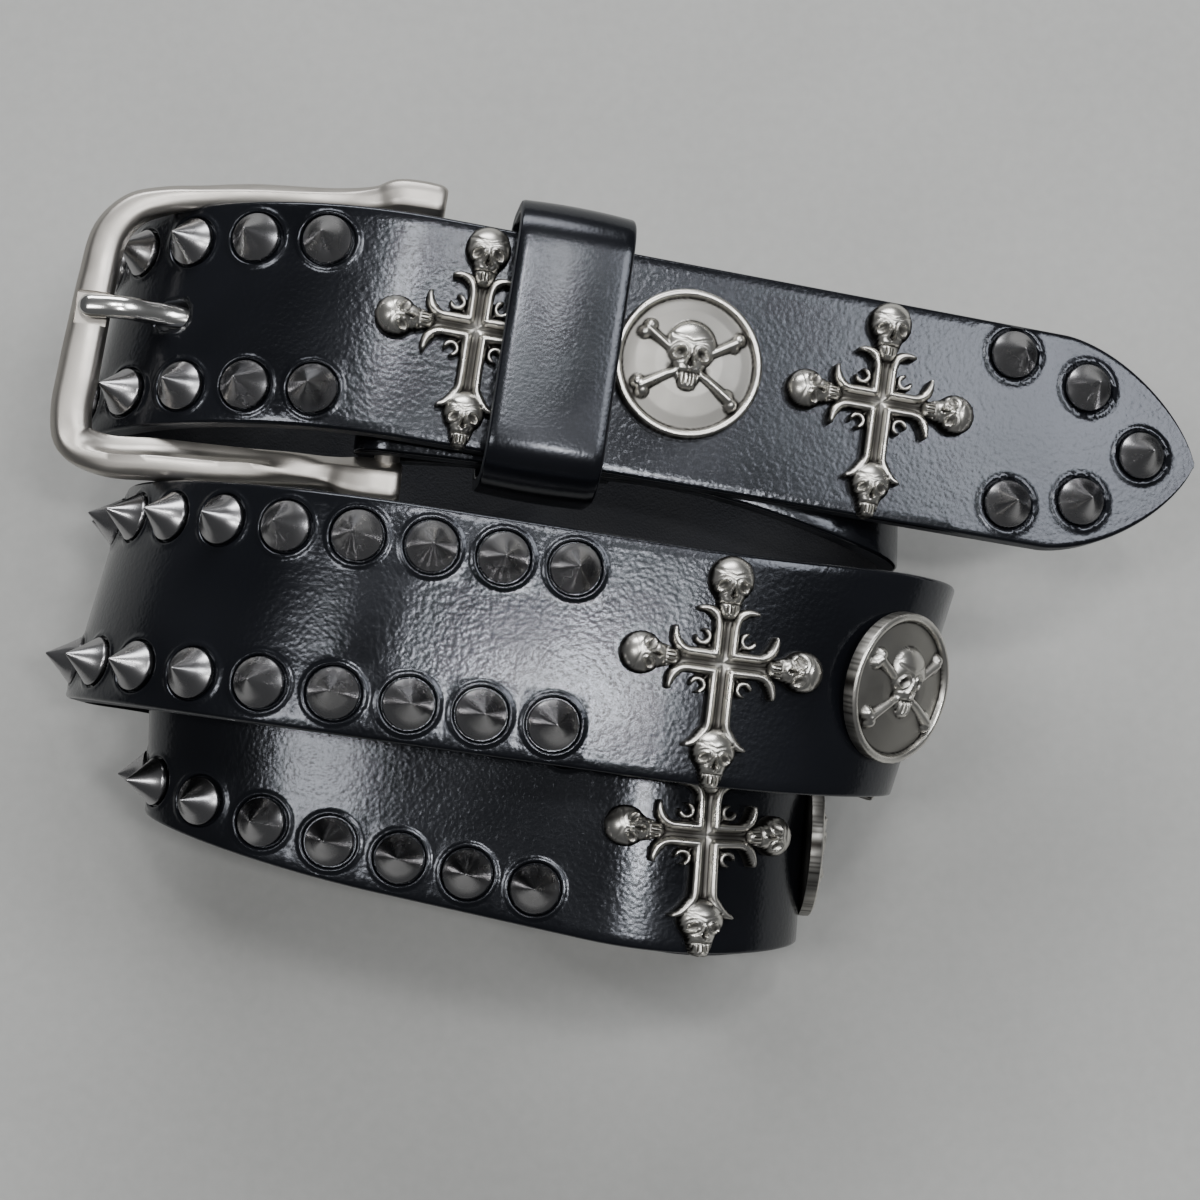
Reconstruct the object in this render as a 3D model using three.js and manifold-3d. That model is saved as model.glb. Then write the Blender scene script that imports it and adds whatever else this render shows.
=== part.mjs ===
// Studded leather belt, fastened and wound into a coil of three turns. Millimetres, +Z up.
// The coil rests on its studs at z = 0. X runs along its front stretches towards the strap's tip.
import * as THREE from "three";
import { mergeVertices } from "three/addons/utils/BufferGeometryUtils.js";
import Module from "manifold-3d";

const kernel = await Module();
kernel.setup();

// Driving sizes
const strap = {
  width: 38, thickness: 3.4, edge: 0.5, noseLength: 26, noseFullness: 1.7, noseRoundness: 0.7, bluntness: 0.004,
};
const coil = { length: 142.4, height: 79.9 };
const stud = { diameter: 8.2, rim: 0.7, height: 5.6, sides: 10, hiddenSides: 5, pitch: 11.6, rowOffset: 12.6 };
const cross = { width: 32, topReach: 16.8, bottomReach: 20.3, bar: 3.9, depth: 2.2, centreOffset: 0.9 };
const medallion = { diameter: 25.5, rim: 1.4, dome: 3.2, sides: 18 };
const keeper = { length: 19.5, thickness: 2.5, sideRoom: 3.4, topRoom: 4.2, corner: 5.5, fromHeel: 26.3 };
const buckle = {
  length: 55, width: 53, bar: 6.4, depth: 5.2, heelBar: 4.4, heelBarShare: 0.86, toeDepth: 0.9, toeLift: 3.2,
  chamferShare: 0.3, sectionTilt: 0.35,
};
const prong = { width: 3.9, thickness: 3.2, holeReach: 0.6265, wall: 2.2, sunk: 1.2, sections: 8, ringSides: 12 };
const holes = { diameter: 5.2, usedLength: 10, pitch: 25, count: 5, sides: 12 };
const fold = { length: 38, settle: 14, slotWidth: 6.5 };
const clearance = 0.3;
const studMargin = 25.5;
const studLead = 41.85;
const fusedDepth = 0.8;
const stationSteps = { stretch: 10, bend: 7, fold: 2 };

// One row for each bend, in the order that the strap passes them from the buckle end.
// reach and the runs are shares of the coil's length, the y columns shares of the strap's width and the
// z columns shares of the coil's height. nested counts the layers outside the bend, layer the layers under it.
const bends = [
  { side: 1, reach: 0.365, nested: 0, yTop: 1.079, yMid: 0.737, yLow: 0.447,
    zTop: 0.768, under: 1, zMid: 0.488, layer: 1, runTop: 0.323, runLow: 0.225, lean: 2 },
  { side: -1, reach: 0.618, nested: 1, yTop: -0.763, yMid: -0.382, yLow: -0.195,
    zTop: 0.713, under: 0, zMid: 0.45, layer: 1, runTop: 0.323, runLow: 0.225, lean: 0 },
  { side: 1, reach: 0.378, nested: 2, yTop: -0.961, yMid: -1.005, yLow: -0.974,
    zTop: 0.713, under: 0, zMid: 0.357, layer: 0, runTop: 0.239, runLow: 0.239, lean: 5 },
  { side: -1, reach: 0.615, nested: 0, yTop: -0.113, yMid: 0.105, yLow: -0.158,
    zTop: 1, under: 0, zMid: 0.463, layer: 0, runTop: 0.4, runLow: 0.225, lean: 15.5 },
  { side: 1, reach: 0.386, nested: 0, yTop: -0.263, yMid: -0.334, yLow: -0.053,
    zTop: 0.92, under: 0, zMid: 0.526, layer: 0, runTop: 0.309, runLow: 0.211, lean: 18.5 },
  { side: -1, reach: 0.611, nested: 0, yTop: 1.21, yMid: 1.282, yLow: 1.079,
    zTop: 0.857, under: 0, zMid: 0.501, layer: 0, runTop: 0.407, runLow: 0.295, lean: 12 },
];
const strapEnds = {
  heel: { x: -0.239, y: 1.184, z: 0.821, under: 1 },
  tip: { x: 0.73, y: 0.697, z: 0.588, under: 0 },
};

// Ornaments by distance from the strap's tip: a medallion with a cross on each side of it.
// across is the medallion's place off the strap's middle, as a share of the strap's width.
const groups = [
  { name: "tip", medallion: 92, across: 0.04, toTip: 34, toBuckle: 36 },
  { name: "middle", medallion: 425, across: 0, toTip: 36, toBuckle: 32 },
  { name: "low", medallion: 749.5, across: -0.04, toTip: 36, toBuckle: 34.5 },
];
// Rows of studs that follow each group, and how many of them are pieces of their own
const studRuns = [
  { name: "first", ownUpper: 5, ownLower: 5 },
  { name: "middle", ownUpper: 9, ownLower: 9 },
  { name: "low", ownUpper: 0, ownLower: 8 },
];
const lastRunCount = 15;
const tipStuds = [
  { fromTip: 35, across: 0.36 },
  { fromTip: 21, across: 0.27 },
  { fromTip: 10, across: 0 },
  { fromTip: 20, across: -0.26 },
  { fromTip: 33, across: -0.33 },
];

const finishes = {
  leather: { color: 0x14161c, roughness: 0.32, metalness: 0 },
  gunmetal: { color: 0x5a5c62, roughness: 0.28, metalness: 1 },
  silver: { color: 0xa9a59b, roughness: 0.36, metalness: 1 },
  nickel: { color: 0xb9b4a8, roughness: 0.3, metalness: 1 },
};

const layerRise = strap.thickness + stud.height + clearance;
const tableHeight = strap.thickness / 2 + stud.height;
const barRadius = buckle.heelBar / 2;
const barSides = 12;
const foldRadius = barRadius + clearance + strap.thickness / 2;

function vector(x, y, z) {
  return new THREE.Vector3(x, y, z);
}

// The strap's centreline as a chain of curves, with the direction of its width at every place.
class StrapPath {
  constructor() {
    this.curves = [];
    this.leans = [];
    this.steps = [];
    this.joints = bends.map((row, index) => this.bendPoints(row, index % 2 === 0));
    this.heel = this.endPoint(strapEnds.heel);
    this.tip = this.endPoint(strapEnds.tip);
    const starts = [this.heel, ...this.joints.map((joint) => joint.leave)];
    const stops = [...this.joints.map((joint) => joint.enter), this.tip];
    this.headings = starts.map((start, index) => stops[index].clone().sub(start).normalize());
    const heelLean = THREE.MathUtils.radToDeg(Math.atan2(-this.headings[0].y, this.headings[0].x));
    this.addFold(heelLean);
    starts.forEach((start, index) => {
      const before = index === 0 ? heelLean : bends[index - 1].lean;
      const after = index === bends.length ? 0 : bends[index].lean;
      this.addStretch(start, stops[index], this.headings[index], before, after);
      if (index < bends.length) {
        this.addBend(index);
      }
    });
    this.lengths = this.curves.map((curve) => curve.getLength());
    this.length = this.lengths.reduce((sum, length) => sum + length, 0);
    this.heelDistance = this.lengths.slice(0, 4).reduce((sum, length) => sum + length, 0);
  }

  bendPoints(row, goesDown) {
    const extreme = row.side * (row.reach * coil.length - row.nested * layerRise);
    const place = (run, y, z) => vector(extreme - row.side * run * coil.length, y * strap.width, z);
    const top = place(row.runTop, row.yTop, row.zTop * coil.height - row.under * strap.thickness);
    const middle = place(0, row.yMid, row.zMid * coil.height);
    const low = place(row.runLow, row.yLow, tableHeight + row.layer * layerRise);
    return { enter: goesDown ? top : low, middle, leave: goesDown ? low : top };
  }

  endPoint(end) {
    const z = end.z * coil.height - end.under * strap.thickness;
    return vector(end.x * coil.length, end.y * strap.width, z);
  }

  add([from, first, second, to], [leanFrom, leanTo], step) {
    this.curves.push(new THREE.CubicBezierCurve3(from, first, second, to));
    this.leans.push([leanFrom, leanTo]);
    this.steps.push(step);
  }

  addStretch(from, to, heading, leanFrom, leanTo) {
    const third = from.distanceTo(to) / 3;
    const first = from.clone().addScaledVector(heading, third);
    const second = to.clone().addScaledVector(heading, -third);
    this.add([from, first, second, to], [leanFrom, leanTo], stationSteps.stretch);
  }

  // A bend is two quarter ellipses that meet where the strap stands upright.
  addBend(index) {
    const { enter, middle, leave } = this.joints[index];
    const lean = bends[index].lean;
    const roundness = 0.5523;
    const handle = (from, heading) => (roundness * Math.abs(from.x - middle.x)) / Math.abs(heading.x);
    const slenderness = (from) => Math.max(1, Math.abs((from.x - middle.x) / (from.z - middle.z)));
    const upright = (from) => vector(0, 0, roundness * (from.z - middle.z) * Math.pow(slenderness(from), 0.45));
    const arriving = this.headings[index];
    const leaving = this.headings[index + 1];
    const first = enter.clone().addScaledVector(arriving, handle(enter, arriving));
    this.add([enter, first, middle.clone().add(upright(enter)), middle], [lean, lean], stationSteps.bend);
    const last = leave.clone().addScaledVector(leaving, -handle(leave, leaving));
    this.add([middle, middle.clone().add(upright(leave)), last, leave], [lean, lean], stationSteps.bend);
  }

  // The strap's buckle end passes round the heel bar and lies back under itself.
  addFold(lean) {
    const along = this.headings[0];
    const across = widthDirection(along, lean);
    const out = along.clone().cross(across);
    const roundness = 0.5523 * foldRadius;
    const place = (forward, down) => this.heel.clone().addScaledVector(along, forward).addScaledVector(out, -down);
    const close = strap.thickness + clearance;
    const end = place(fold.length, close);
    const settle = place(fold.settle, close);
    const under = place(0, 2 * foldRadius);
    const side = place(-foldRadius, foldRadius);
    const third = fold.settle / 3;
    this.addStretch(end, settle, along.clone().negate(), lean, lean);
    const low = place(-roundness, 2 * foldRadius);
    const curves = [
      [settle, place(fold.settle - third, close), place(third, 2 * foldRadius), under],
      [under, low, place(-foldRadius, foldRadius + roundness), side],
      [side, place(-foldRadius, foldRadius - roundness), place(-roundness, 0), this.heel],
    ];
    curves.forEach((points) => this.add(points, [lean, lean], stationSteps.fold));
  }

  // Frame at a distance from the fold's free end: its point, and the strap's along, across and out directions.
  frame(distance) {
    let index = 0;
    let rest = THREE.MathUtils.clamp(distance, 0, this.length);
    while (index < this.curves.length - 1 && rest > this.lengths[index]) {
      rest -= this.lengths[index];
      index += 1;
    }
    const share = Math.min(rest / this.lengths[index], 1);
    const along = this.curves[index].getTangentAt(share);
    const [before, after] = this.leans[index];
    const lean = THREE.MathUtils.lerp(before, after, THREE.MathUtils.smoothstep(share, 0, 1));
    const across = widthDirection(along, lean);
    return { point: this.curves[index].getPointAt(share), along, across, out: along.clone().cross(across) };
  }

  fromTip(distance) {
    return this.frame(this.length - distance);
  }
}

// The width of the strap lies in the turn's lean and square to its path.
function widthDirection(along, lean) {
  const angle = THREE.MathUtils.degToRad(lean);
  const axis = vector(Math.sin(angle), Math.cos(angle), 0);
  return axis.addScaledVector(along, -axis.dot(along)).normalize();
}

// Frame on the strap's outer face, square to the face at that place across it
function faceFrame(fromTip, across) {
  const half = strap.thickness / 2;
  const point = placeOn(path.fromTip(fromTip), 0, across, half);
  const ahead = placeOn(path.fromTip(fromTip - 1), 0, across, half);
  const behind = placeOn(path.fromTip(fromTip + 1), 0, across, half);
  const along = ahead.sub(behind).normalize();
  const out = along.clone().cross(path.fromTip(fromTip).across).normalize();
  return { point, along, across: out.clone().cross(along), out };
}

function placeOn(frame, forward, across, out) {
  return frame.point
    .clone()
    .addScaledVector(frame.along, forward)
    .addScaledVector(frame.across, across)
    .addScaledVector(frame.out, out);
}

const path = new StrapPath();

// Distance from the tip at which the strap passes over a place at a reach along the buckle
function fromTipAt(reach) {
  const frame = buckleFrame();
  const tolerance = 1e-6;
  let near = 0;
  let far = path.lengths.at(-1) + path.lengths.at(-2);
  while (far - near > tolerance) {
    const middle = (near + far) / 2;
    const forward = path.fromTip(middle).point.sub(frame.point).dot(frame.along);
    if (forward < reach * buckle.length) {
      near = middle;
    } else {
      far = middle;
    }
  }
  return near;
}

// The used hole lies under the prong, the first pair of studs a set way inside the toe bar, and the keeper a
// set way in front of the heel bar.
const seats = {
  usedHole: fromTipAt(prong.holeReach),
  firstStuds: fromTipAt(1 - studLead / buckle.length),
  keeper: fromTipAt(0) - keeper.fromHeel,
};

// Closed skin through rings of points that all have the same count
function loft(rings) {
  const size = rings[0].length;
  const positions = rings.flatMap((ring) => ring.flatMap((point) => point.toArray()));
  const faces = [];
  for (let ring = 0; ring < rings.length - 1; ring += 1) {
    for (let corner = 0; corner < size; corner += 1) {
      const next = (corner + 1) % size;
      const a = ring * size + corner;
      const b = ring * size + next;
      faces.push(a, b, a + size, b, b + size, a + size);
    }
  }
  const last = (rings.length - 1) * size;
  for (let corner = 1; corner < size - 1; corner += 1) {
    faces.push(0, corner + 1, corner, last, last + corner, last + corner + 1);
  }
  const geometry = new THREE.BufferGeometry();
  geometry.setAttribute("position", new THREE.Float32BufferAttribute(positions, 3));
  geometry.setIndex(faces);
  return geometry;
}

function toSolid(geometry) {
  const bare = geometry.clone();
  bare.deleteAttribute("normal");
  bare.deleteAttribute("uv");
  const merged = mergeVertices(bare, 1e-4);
  const mesh = new kernel.Mesh({
    numProp: 3,
    vertProperties: Float32Array.from(merged.attributes.position.array),
    triVerts: Uint32Array.from(merged.index.array),
  });
  return new kernel.Manifold(mesh);
}

function toGeometry(solid) {
  const mesh = solid.getMesh();
  const geometry = new THREE.BufferGeometry();
  geometry.setAttribute("position", new THREE.Float32BufferAttribute(mesh.vertProperties, 3));
  geometry.setIndex(Array.from(mesh.triVerts));
  return geometry;
}

// A geometry in strap coordinates (x along, y across, z out) bent onto the strap's outer face
function wrap(geometry, fromTip, across) {
  const positions = geometry.attributes.position;
  for (let index = 0; index < positions.count; index += 1) {
    const frame = path.fromTip(fromTip - positions.getX(index));
    const height = strap.thickness / 2 + clearance + positions.getZ(index);
    const point = placeOn(frame, 0, across + positions.getY(index), height);
    positions.setXYZ(index, point.x, point.y, point.z);
  }
  return geometry;
}

function frameMatrix(frame, origin) {
  const matrix = new THREE.Matrix4().makeBasis(frame.along, frame.across, frame.out);
  return matrix.setPosition(origin);
}

// Half of the strap's width at a distance from its tip: full width behind the rounded nose
function halfWidth(fromTip) {
  const share = THREE.MathUtils.clamp(fromTip / strap.noseLength, strap.bluntness, 1);
  const fullness = 1 - Math.pow(1 - share, strap.noseFullness);
  return (strap.width / 2) * Math.pow(fullness, strap.noseRoundness);
}

function strapSection(frame, half) {
  const thick = strap.thickness / 2;
  const edge = Math.min(strap.edge, half / 2);
  const corners = [
    [half, -thick], [half, thick - edge], [half - edge, thick], [edge - half, thick], [-half, thick - edge],
    [-half, -thick],
  ];
  return corners.map(([across, out]) => placeOn(frame, 0, across, out));
}

// Stations along the strap, each curve of its path with its own step, and closer ones at the nose
function strapStations() {
  const nose = path.length - strap.noseLength;
  const noseShares = [0, 0.25, 0.5, 0.7, 0.83, 0.92, 0.97, 1];
  const stations = [];
  let from = 0;
  path.lengths.forEach((length, index) => {
    const to = Math.min(from + length, nose);
    const count = Math.max(1, Math.round((to - from) / path.steps[index]));
    for (let station = 0; station < count; station += 1) {
      stations.push(from + ((to - from) * station) / count);
    }
    from += length;
  });
  return [...stations, ...noseShares.map((share) => nose + share * strap.noseLength)];
}

function holeCutter(frame, width, length) {
  const radius = width / 2;
  const shape = new THREE.Shape();
  shape.absarc(length / 2 - radius, 0, radius, -Math.PI / 2, Math.PI / 2);
  shape.absarc(radius - length / 2, 0, radius, Math.PI / 2, (3 * Math.PI) / 2);
  const depth = 3 * strap.thickness;
  const geometry = new THREE.ExtrudeGeometry(shape, { depth, bevelEnabled: false, curveSegments: holes.sides / 2 });
  geometry.translate(0, 0, -depth / 2);
  return toSolid(geometry.applyMatrix4(frameMatrix(frame, frame.point)));
}

// The oblong slot follows the strap round the heel bar.
function slotCutter() {
  const bendStart = path.lengths[0] + path.lengths[1];
  const start = bendStart - 0.55 * fold.settle;
  const stop = bendStart + path.lengths[2] + path.lengths[3] + barRadius + prong.wall + clearance;
  const rings = [];
  const count = 12;
  for (let index = 0; index <= count; index += 1) {
    const frame = path.frame(start + ((stop - start) * index) / count);
    const half = fold.slotWidth / 2;
    const low = -(strap.thickness + clearance) / 2;
    rings.push([
      placeOn(frame, 0, half, low), placeOn(frame, 0, half, strap.thickness),
      placeOn(frame, 0, -half, strap.thickness), placeOn(frame, 0, -half, low),
    ]);
  }
  return toSolid(loft(rings));
}

function studProfile(sink) {
  const radius = stud.diameter / 2;
  return [
    new THREE.Vector2(0, -sink), new THREE.Vector2(radius, -sink),
    new THREE.Vector2(radius, stud.rim), new THREE.Vector2(0, stud.height - (sink > 0 ? 0 : clearance)),
  ];
}

function studGeometry(sink, sides) {
  const geometry = new THREE.LatheGeometry(studProfile(sink), sides);
  return geometry.rotateX(Math.PI / 2);
}

function groupPlaces(group) {
  return { tipCross: group.medallion - group.toTip, buckleCross: group.medallion + group.toBuckle };
}

// Every pair of studs between one group of ornaments and the next. The first run lies round the used hole.
function studPlaces() {
  return studRuns.flatMap((run, index) => {
    const first = index === 0 ? seats.firstStuds : groupPlaces(groups[index]).buckleCross + studMargin;
    const next = groups[index + 1];
    const room = next ? groupPlaces(next).tipCross - studMargin - first : (lastRunCount - 1) * stud.pitch;
    const count = Math.floor(room / stud.pitch + 1e-6) + 1;
    const places = [];
    for (let pair = 0; pair < count; pair += 1) {
      const fromTip = first + pair * stud.pitch;
      const name = (row) => `stud_${run.name}_${row}_${pair + 1}`;
      places.push({ name: name("upper"), fromTip, across: stud.rowOffset, own: pair < run.ownUpper });
      places.push({ name: name("lower"), fromTip, across: -stud.rowOffset, own: pair < run.ownLower });
    }
    return places;
  });
}

function tipStudPlaces() {
  return tipStuds.map((row, index) => ({
    name: `stud_tip_${index + 1}`, fromTip: row.fromTip, across: row.across * strap.width, own: true,
  }));
}

function strapGeometry(hiddenStuds) {
  const stations = strapStations();
  const rings = stations.map((distance) => {
    return strapSection(path.frame(distance), halfWidth(path.length - distance));
  });
  let body = toSolid(loft(rings));
  for (let index = 0; index < holes.count; index += 1) {
    const frame = path.fromTip(seats.usedHole + index * holes.pitch);
    const length = index === 0 ? holes.usedLength : 1.01 * holes.diameter;
    body = body.subtract(holeCutter(frame, holes.diameter, length));
  }
  body = body.subtract(slotCutter());
  const fused = hiddenStuds.map((place) => {
    const frame = faceFrame(place.fromTip, place.across);
    return toSolid(studGeometry(fusedDepth, stud.hiddenSides).applyMatrix4(frameMatrix(frame, frame.point)));
  });
  return toGeometry(kernel.Manifold.union([body, ...fused]));
}

// One row for each arm of a cross: where it points, how far it and its horns reach, and the skull on its end
const crossArms = [
  { turn: 0, reach: cross.width / 2, horns: 8.6, skullLength: 9.3, skullWidth: 7 },
  { turn: 90, reach: cross.topReach, horns: 8.5, skullLength: 10.2, skullWidth: 7.6 },
  { turn: 180, reach: cross.width / 2, horns: 8.6, skullLength: 9.3, skullWidth: 7 },
  { turn: 270, reach: cross.bottomReach, horns: 13, skullLength: 8.6, skullWidth: 6.6 },
];
// Sections of an arm as shares of its horns' reach, the bar's half width and the cross's depth
const armSections = [
  { at: 0, half: 1, depth: 1 },
  { at: 0.5, half: 1, depth: 1 },
  { at: 0.8, half: 1.4, depth: 0.9 },
  { at: 1, half: 2.2, depth: 0.5 },
];
const crescent = { radius: 1.6, wire: 0.5, depth: 1.3, open: 70, arcSides: 2 };

function crossArm(arm) {
  const rings = armSections.map((row) => {
    const half = (row.half * cross.bar) / 2;
    const depth = row.depth * cross.depth;
    const corners = [[-half, 0], [half, 0], [half, 0.6 * depth], [0, depth], [-half, 0.6 * depth]];
    return corners.map(([side, height]) => vector(row.at * arm.horns, side, height));
  });
  return toSolid(loft(rings));
}

function skull(arm) {
  const half = arm.skullLength / 2;
  const cranium = new THREE.SphereGeometry(1, 6, 4).rotateX(Math.PI / 2);
  cranium.scale(half * 0.72, arm.skullWidth / 2, arm.skullWidth * 0.46);
  const inward = arm.turn === 270 ? 1 : -1;
  cranium.translate(arm.reach - half - inward * half * 0.28, 0, 0.5);
  const jaw = new THREE.BoxGeometry(half, arm.skullWidth * 0.52, cross.depth * 1.1);
  jaw.translate(arm.reach - half + inward * half * 0.45, 0, cross.depth * 0.55);
  return toSolid(cranium).add(toSolid(jaw)).trimByPlane([0, 0, 1], 0);
}

function crescentSolid(turn) {
  const opening = THREE.MathUtils.degToRad(crescent.open / 2);
  const shape = new THREE.Shape();
  shape.absarc(0, 0, crescent.radius, opening, 2 * Math.PI - opening, false);
  shape.absarc(0, 0, crescent.radius - crescent.wire, 2 * Math.PI - opening, opening, true);
  const options = { depth: crescent.depth, bevelEnabled: false, curveSegments: crescent.arcSides };
  const geometry = new THREE.ExtrudeGeometry(shape, options);
  const reach = cross.bar / 2 + crescent.radius - crescent.wire / 2;
  geometry.translate(reach * Math.SQRT2, 0, 0);
  return toSolid(geometry.rotateZ(THREE.MathUtils.degToRad(turn)));
}

// The cross lies flat here: x along the strap towards the tip, y across it, z out of it.
function crossSolid() {
  const solids = crossArms.flatMap((arm) => {
    return [crossArm(arm), skull(arm)].map((solid) => solid.rotate([0, 0, arm.turn]));
  });
  const corners = [45, 135, 225, 315].map(crescentSolid);
  return kernel.Manifold.union([...solids, ...corners]);
}

// A turned disc with a raised rim and a domed middle, on the post that holds it to the strap
function medallionGeometry() {
  const radius = medallion.diameter / 2;
  const inner = radius - medallion.rim;
  const profile = [
    [0, 0], [radius, 0], [radius, 1.6], [radius - 0.6, 1.9], [inner, 1.2],
    [0.65 * inner, 0.8 * medallion.dome], [0, medallion.dome],
  ];
  const points = profile.map(([distance, height]) => new THREE.Vector2(distance, height));
  return new THREE.LatheGeometry(points, medallion.sides).rotateX(Math.PI / 2);
}

// A leather loop round both layers of the strap, open along the strap
function keeperGeometry() {
  const height = keeperRoom();
  const halfInside = strap.width / 2 + keeper.sideRoom;
  const outline = (Kind, half, bottom, top, corner) => {
    const shape = new Kind();
    shape.absarc(half - corner, bottom + corner, corner, -Math.PI / 2, 0);
    shape.absarc(half - corner, top - corner, corner, 0, Math.PI / 2);
    shape.absarc(corner - half, top - corner, corner, Math.PI / 2, Math.PI);
    shape.absarc(corner - half, bottom + corner, corner, Math.PI, 1.5 * Math.PI);
    return shape;
  };
  const wall = keeper.thickness;
  const shape = outline(THREE.Shape, halfInside + wall, height.bottom - wall, height.top + wall, keeper.corner + wall);
  shape.holes.push(outline(THREE.Path, halfInside, height.bottom, height.top, keeper.corner));
  const options = { depth: keeper.length, bevelEnabled: false, curveSegments: 4 };
  const geometry = new THREE.ExtrudeGeometry(shape, options);
  return geometry.translate(0, 0, -keeper.length / 2);
}

// Inside of the keeper, measured out from the middle of the tip stretch and down past the folded end
function keeperRoom() {
  const frame = path.fromTip(seats.keeper);
  const heading = path.headings[0];
  const depths = [-0.5, 0.5].map((share) => {
    const place = placeOn(frame, share * keeper.length, 0, 0).sub(path.heel);
    const forward = place.dot(frame.along) / heading.dot(frame.along);
    return place.addScaledVector(heading, -forward).dot(frame.out);
  });
  const layers = Math.max(...depths) + 1.5 * strap.thickness + clearance;
  return { top: strap.thickness / 2 + keeper.topRoom, bottom: -(layers + 2 * clearance) };
}

// Sections of the buckle's frame from the upper arm's end round the toe bar to the lower arm's end.
// reach is a share of the buckle's length from the heel bar, side a share of half its width, wide and deep
// shares of the bar, turn the twist of the section in degrees and lift a share of the toe's lift.
const frameSections = [
  { reach: -0.11, side: 0.93, wide: 0.95, deep: 1.0, turn: 8, lift: 0 },
  { reach: 0, side: 0.92, wide: 1.0, deep: 1.05, turn: 8, lift: 0 },
  { reach: 0.14, side: 0.88, wide: 0.82, deep: 0.95, turn: 35, lift: 0.1 },
  { reach: 0.45, side: 0.87, wide: 0.82, deep: 0.95, turn: 75, lift: 0.5 },
  { reach: 0.75, side: 0.86, wide: 0.82, deep: 1.0, turn: 90, lift: 0.8 },
  { reach: 0.9, side: 0.72, wide: 0.92, deep: 1.0, turn: 90, lift: 1 },
  { reach: 0.975, side: 0.5, wide: 0.92, deep: 0.95, turn: 90, lift: 1 },
  { reach: 0.985, side: 0, wide: 0.8, deep: buckle.toeDepth, turn: 90, lift: 1 },
  { reach: 0.995, side: -0.5, wide: 0.92, deep: 0.95, turn: 90, lift: 1 },
  { reach: 0.98, side: -0.82, wide: 1.0, deep: 1.0, turn: 90, lift: 1 },
  { reach: 0.85, side: -0.92, wide: 1.1, deep: 1.0, turn: 95, lift: 0.9 },
  { reach: 0.6, side: -0.885, wide: 1.08, deep: 0.95, turn: 105, lift: 0.6 },
  { reach: 0.3, side: -0.885, wide: 1.08, deep: 0.95, turn: 125, lift: 0.3 },
  { reach: 0.1, side: -0.89, wide: 0.95, deep: 1.0, turn: 172, lift: 0 },
  { reach: -0.03, side: -0.87, wide: 1.0, deep: 1.05, turn: 172, lift: 0 },
];

// The buckle's own directions: towards the toe bar, along the heel bar, and out
function buckleFrame() {
  const heel = path.frame(path.heelDistance);
  const origin = placeOn(heel, 0, 0, -foldRadius);
  return { point: origin, along: heel.along.clone().negate(), across: heel.across, out: heel.out };
}

function bucklePoint(reach, side, lift) {
  return placeOn(buckleFrame(), reach * buckle.length, (side * buckle.width) / 2, lift * buckle.toeLift);
}

// Rounded bar section: four sides with cut corners, turned about the bar's own direction
function barSection(centre, across, out, width, depth) {
  const half = width / 2;
  const deep = depth / 2;
  const cut = buckle.chamferShare * Math.min(width, depth);
  const corners = [
    [half, cut - deep], [half, deep - cut], [half - cut, deep], [cut - half, deep],
    [-half, deep - cut], [-half, cut - deep], [cut - half, -deep], [half - cut, -deep],
  ];
  return corners.map(([side, height]) => centre.clone().addScaledVector(across, side).addScaledVector(out, height));
}

function frameGeometry() {
  const out = buckleFrame().out;
  const centres = frameSections.map((row) => bucklePoint(row.reach, row.side, row.lift));
  const curve = new THREE.CatmullRomCurve3(centres, false, "centripetal");
  const rings = frameSections.map((row, index) => {
    const tangent = curve.getTangent(index / (frameSections.length - 1));
    const across = out.clone().cross(tangent).normalize();
    const up = tangent.clone().cross(across).normalize();
    const tilt = buckle.sectionTilt * Math.sin(THREE.MathUtils.degToRad(2 * row.turn));
    const turnedAcross = across.clone().applyAxisAngle(tangent, tilt);
    const turnedUp = up.clone().applyAxisAngle(tangent, tilt);
    return barSection(centres[index], turnedAcross, turnedUp, row.wide * buckle.bar, row.deep * buckle.depth);
  });
  const rail = toSolid(loft(rings));
  const bar = new THREE.CylinderGeometry(barRadius, barRadius, buckle.heelBarShare * buckle.width, barSides);
  return toGeometry(rail.add(toSolid(bar.applyMatrix4(heelBarMatrix()))).subtract(notchSolid()));
}

// Places a shape turned about Y on the heel bar
function heelBarMatrix() {
  const frame = buckleFrame();
  const third = frame.along.clone().cross(frame.across);
  return new THREE.Matrix4().makeBasis(frame.along, frame.across, third).setPosition(frame.point);
}

// The prong runs straight from the heel bar's middle over the used hole: its side place at a reach
function prongSide(reach) {
  const frame = buckleFrame();
  const hole = path.fromTip(seats.usedHole).point.sub(frame.point);
  const slope = hole.dot(frame.across) / hole.dot(frame.along);
  return (2 * slope * reach * buckle.length) / buckle.width;
}

function prongRise() {
  return (buckle.toeDepth * buckle.depth + prong.thickness) / 2 + clearance - prong.sunk;
}

// The notch in the toe bar that the prong's end lies in
function notchSolid() {
  const frame = buckleFrame();
  const box = new THREE.BoxGeometry(3 * buckle.bar, prong.width + 4 * clearance, prong.thickness + 2 * clearance);
  const centre = bucklePoint(1, prongSide(1), 1).addScaledVector(frame.out, prongRise());
  const matrix = new THREE.Matrix4().makeBasis(frame.along, frame.across, frame.along.clone().cross(frame.across));
  return toSolid(box.applyMatrix4(matrix.setPosition(centre)));
}

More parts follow.
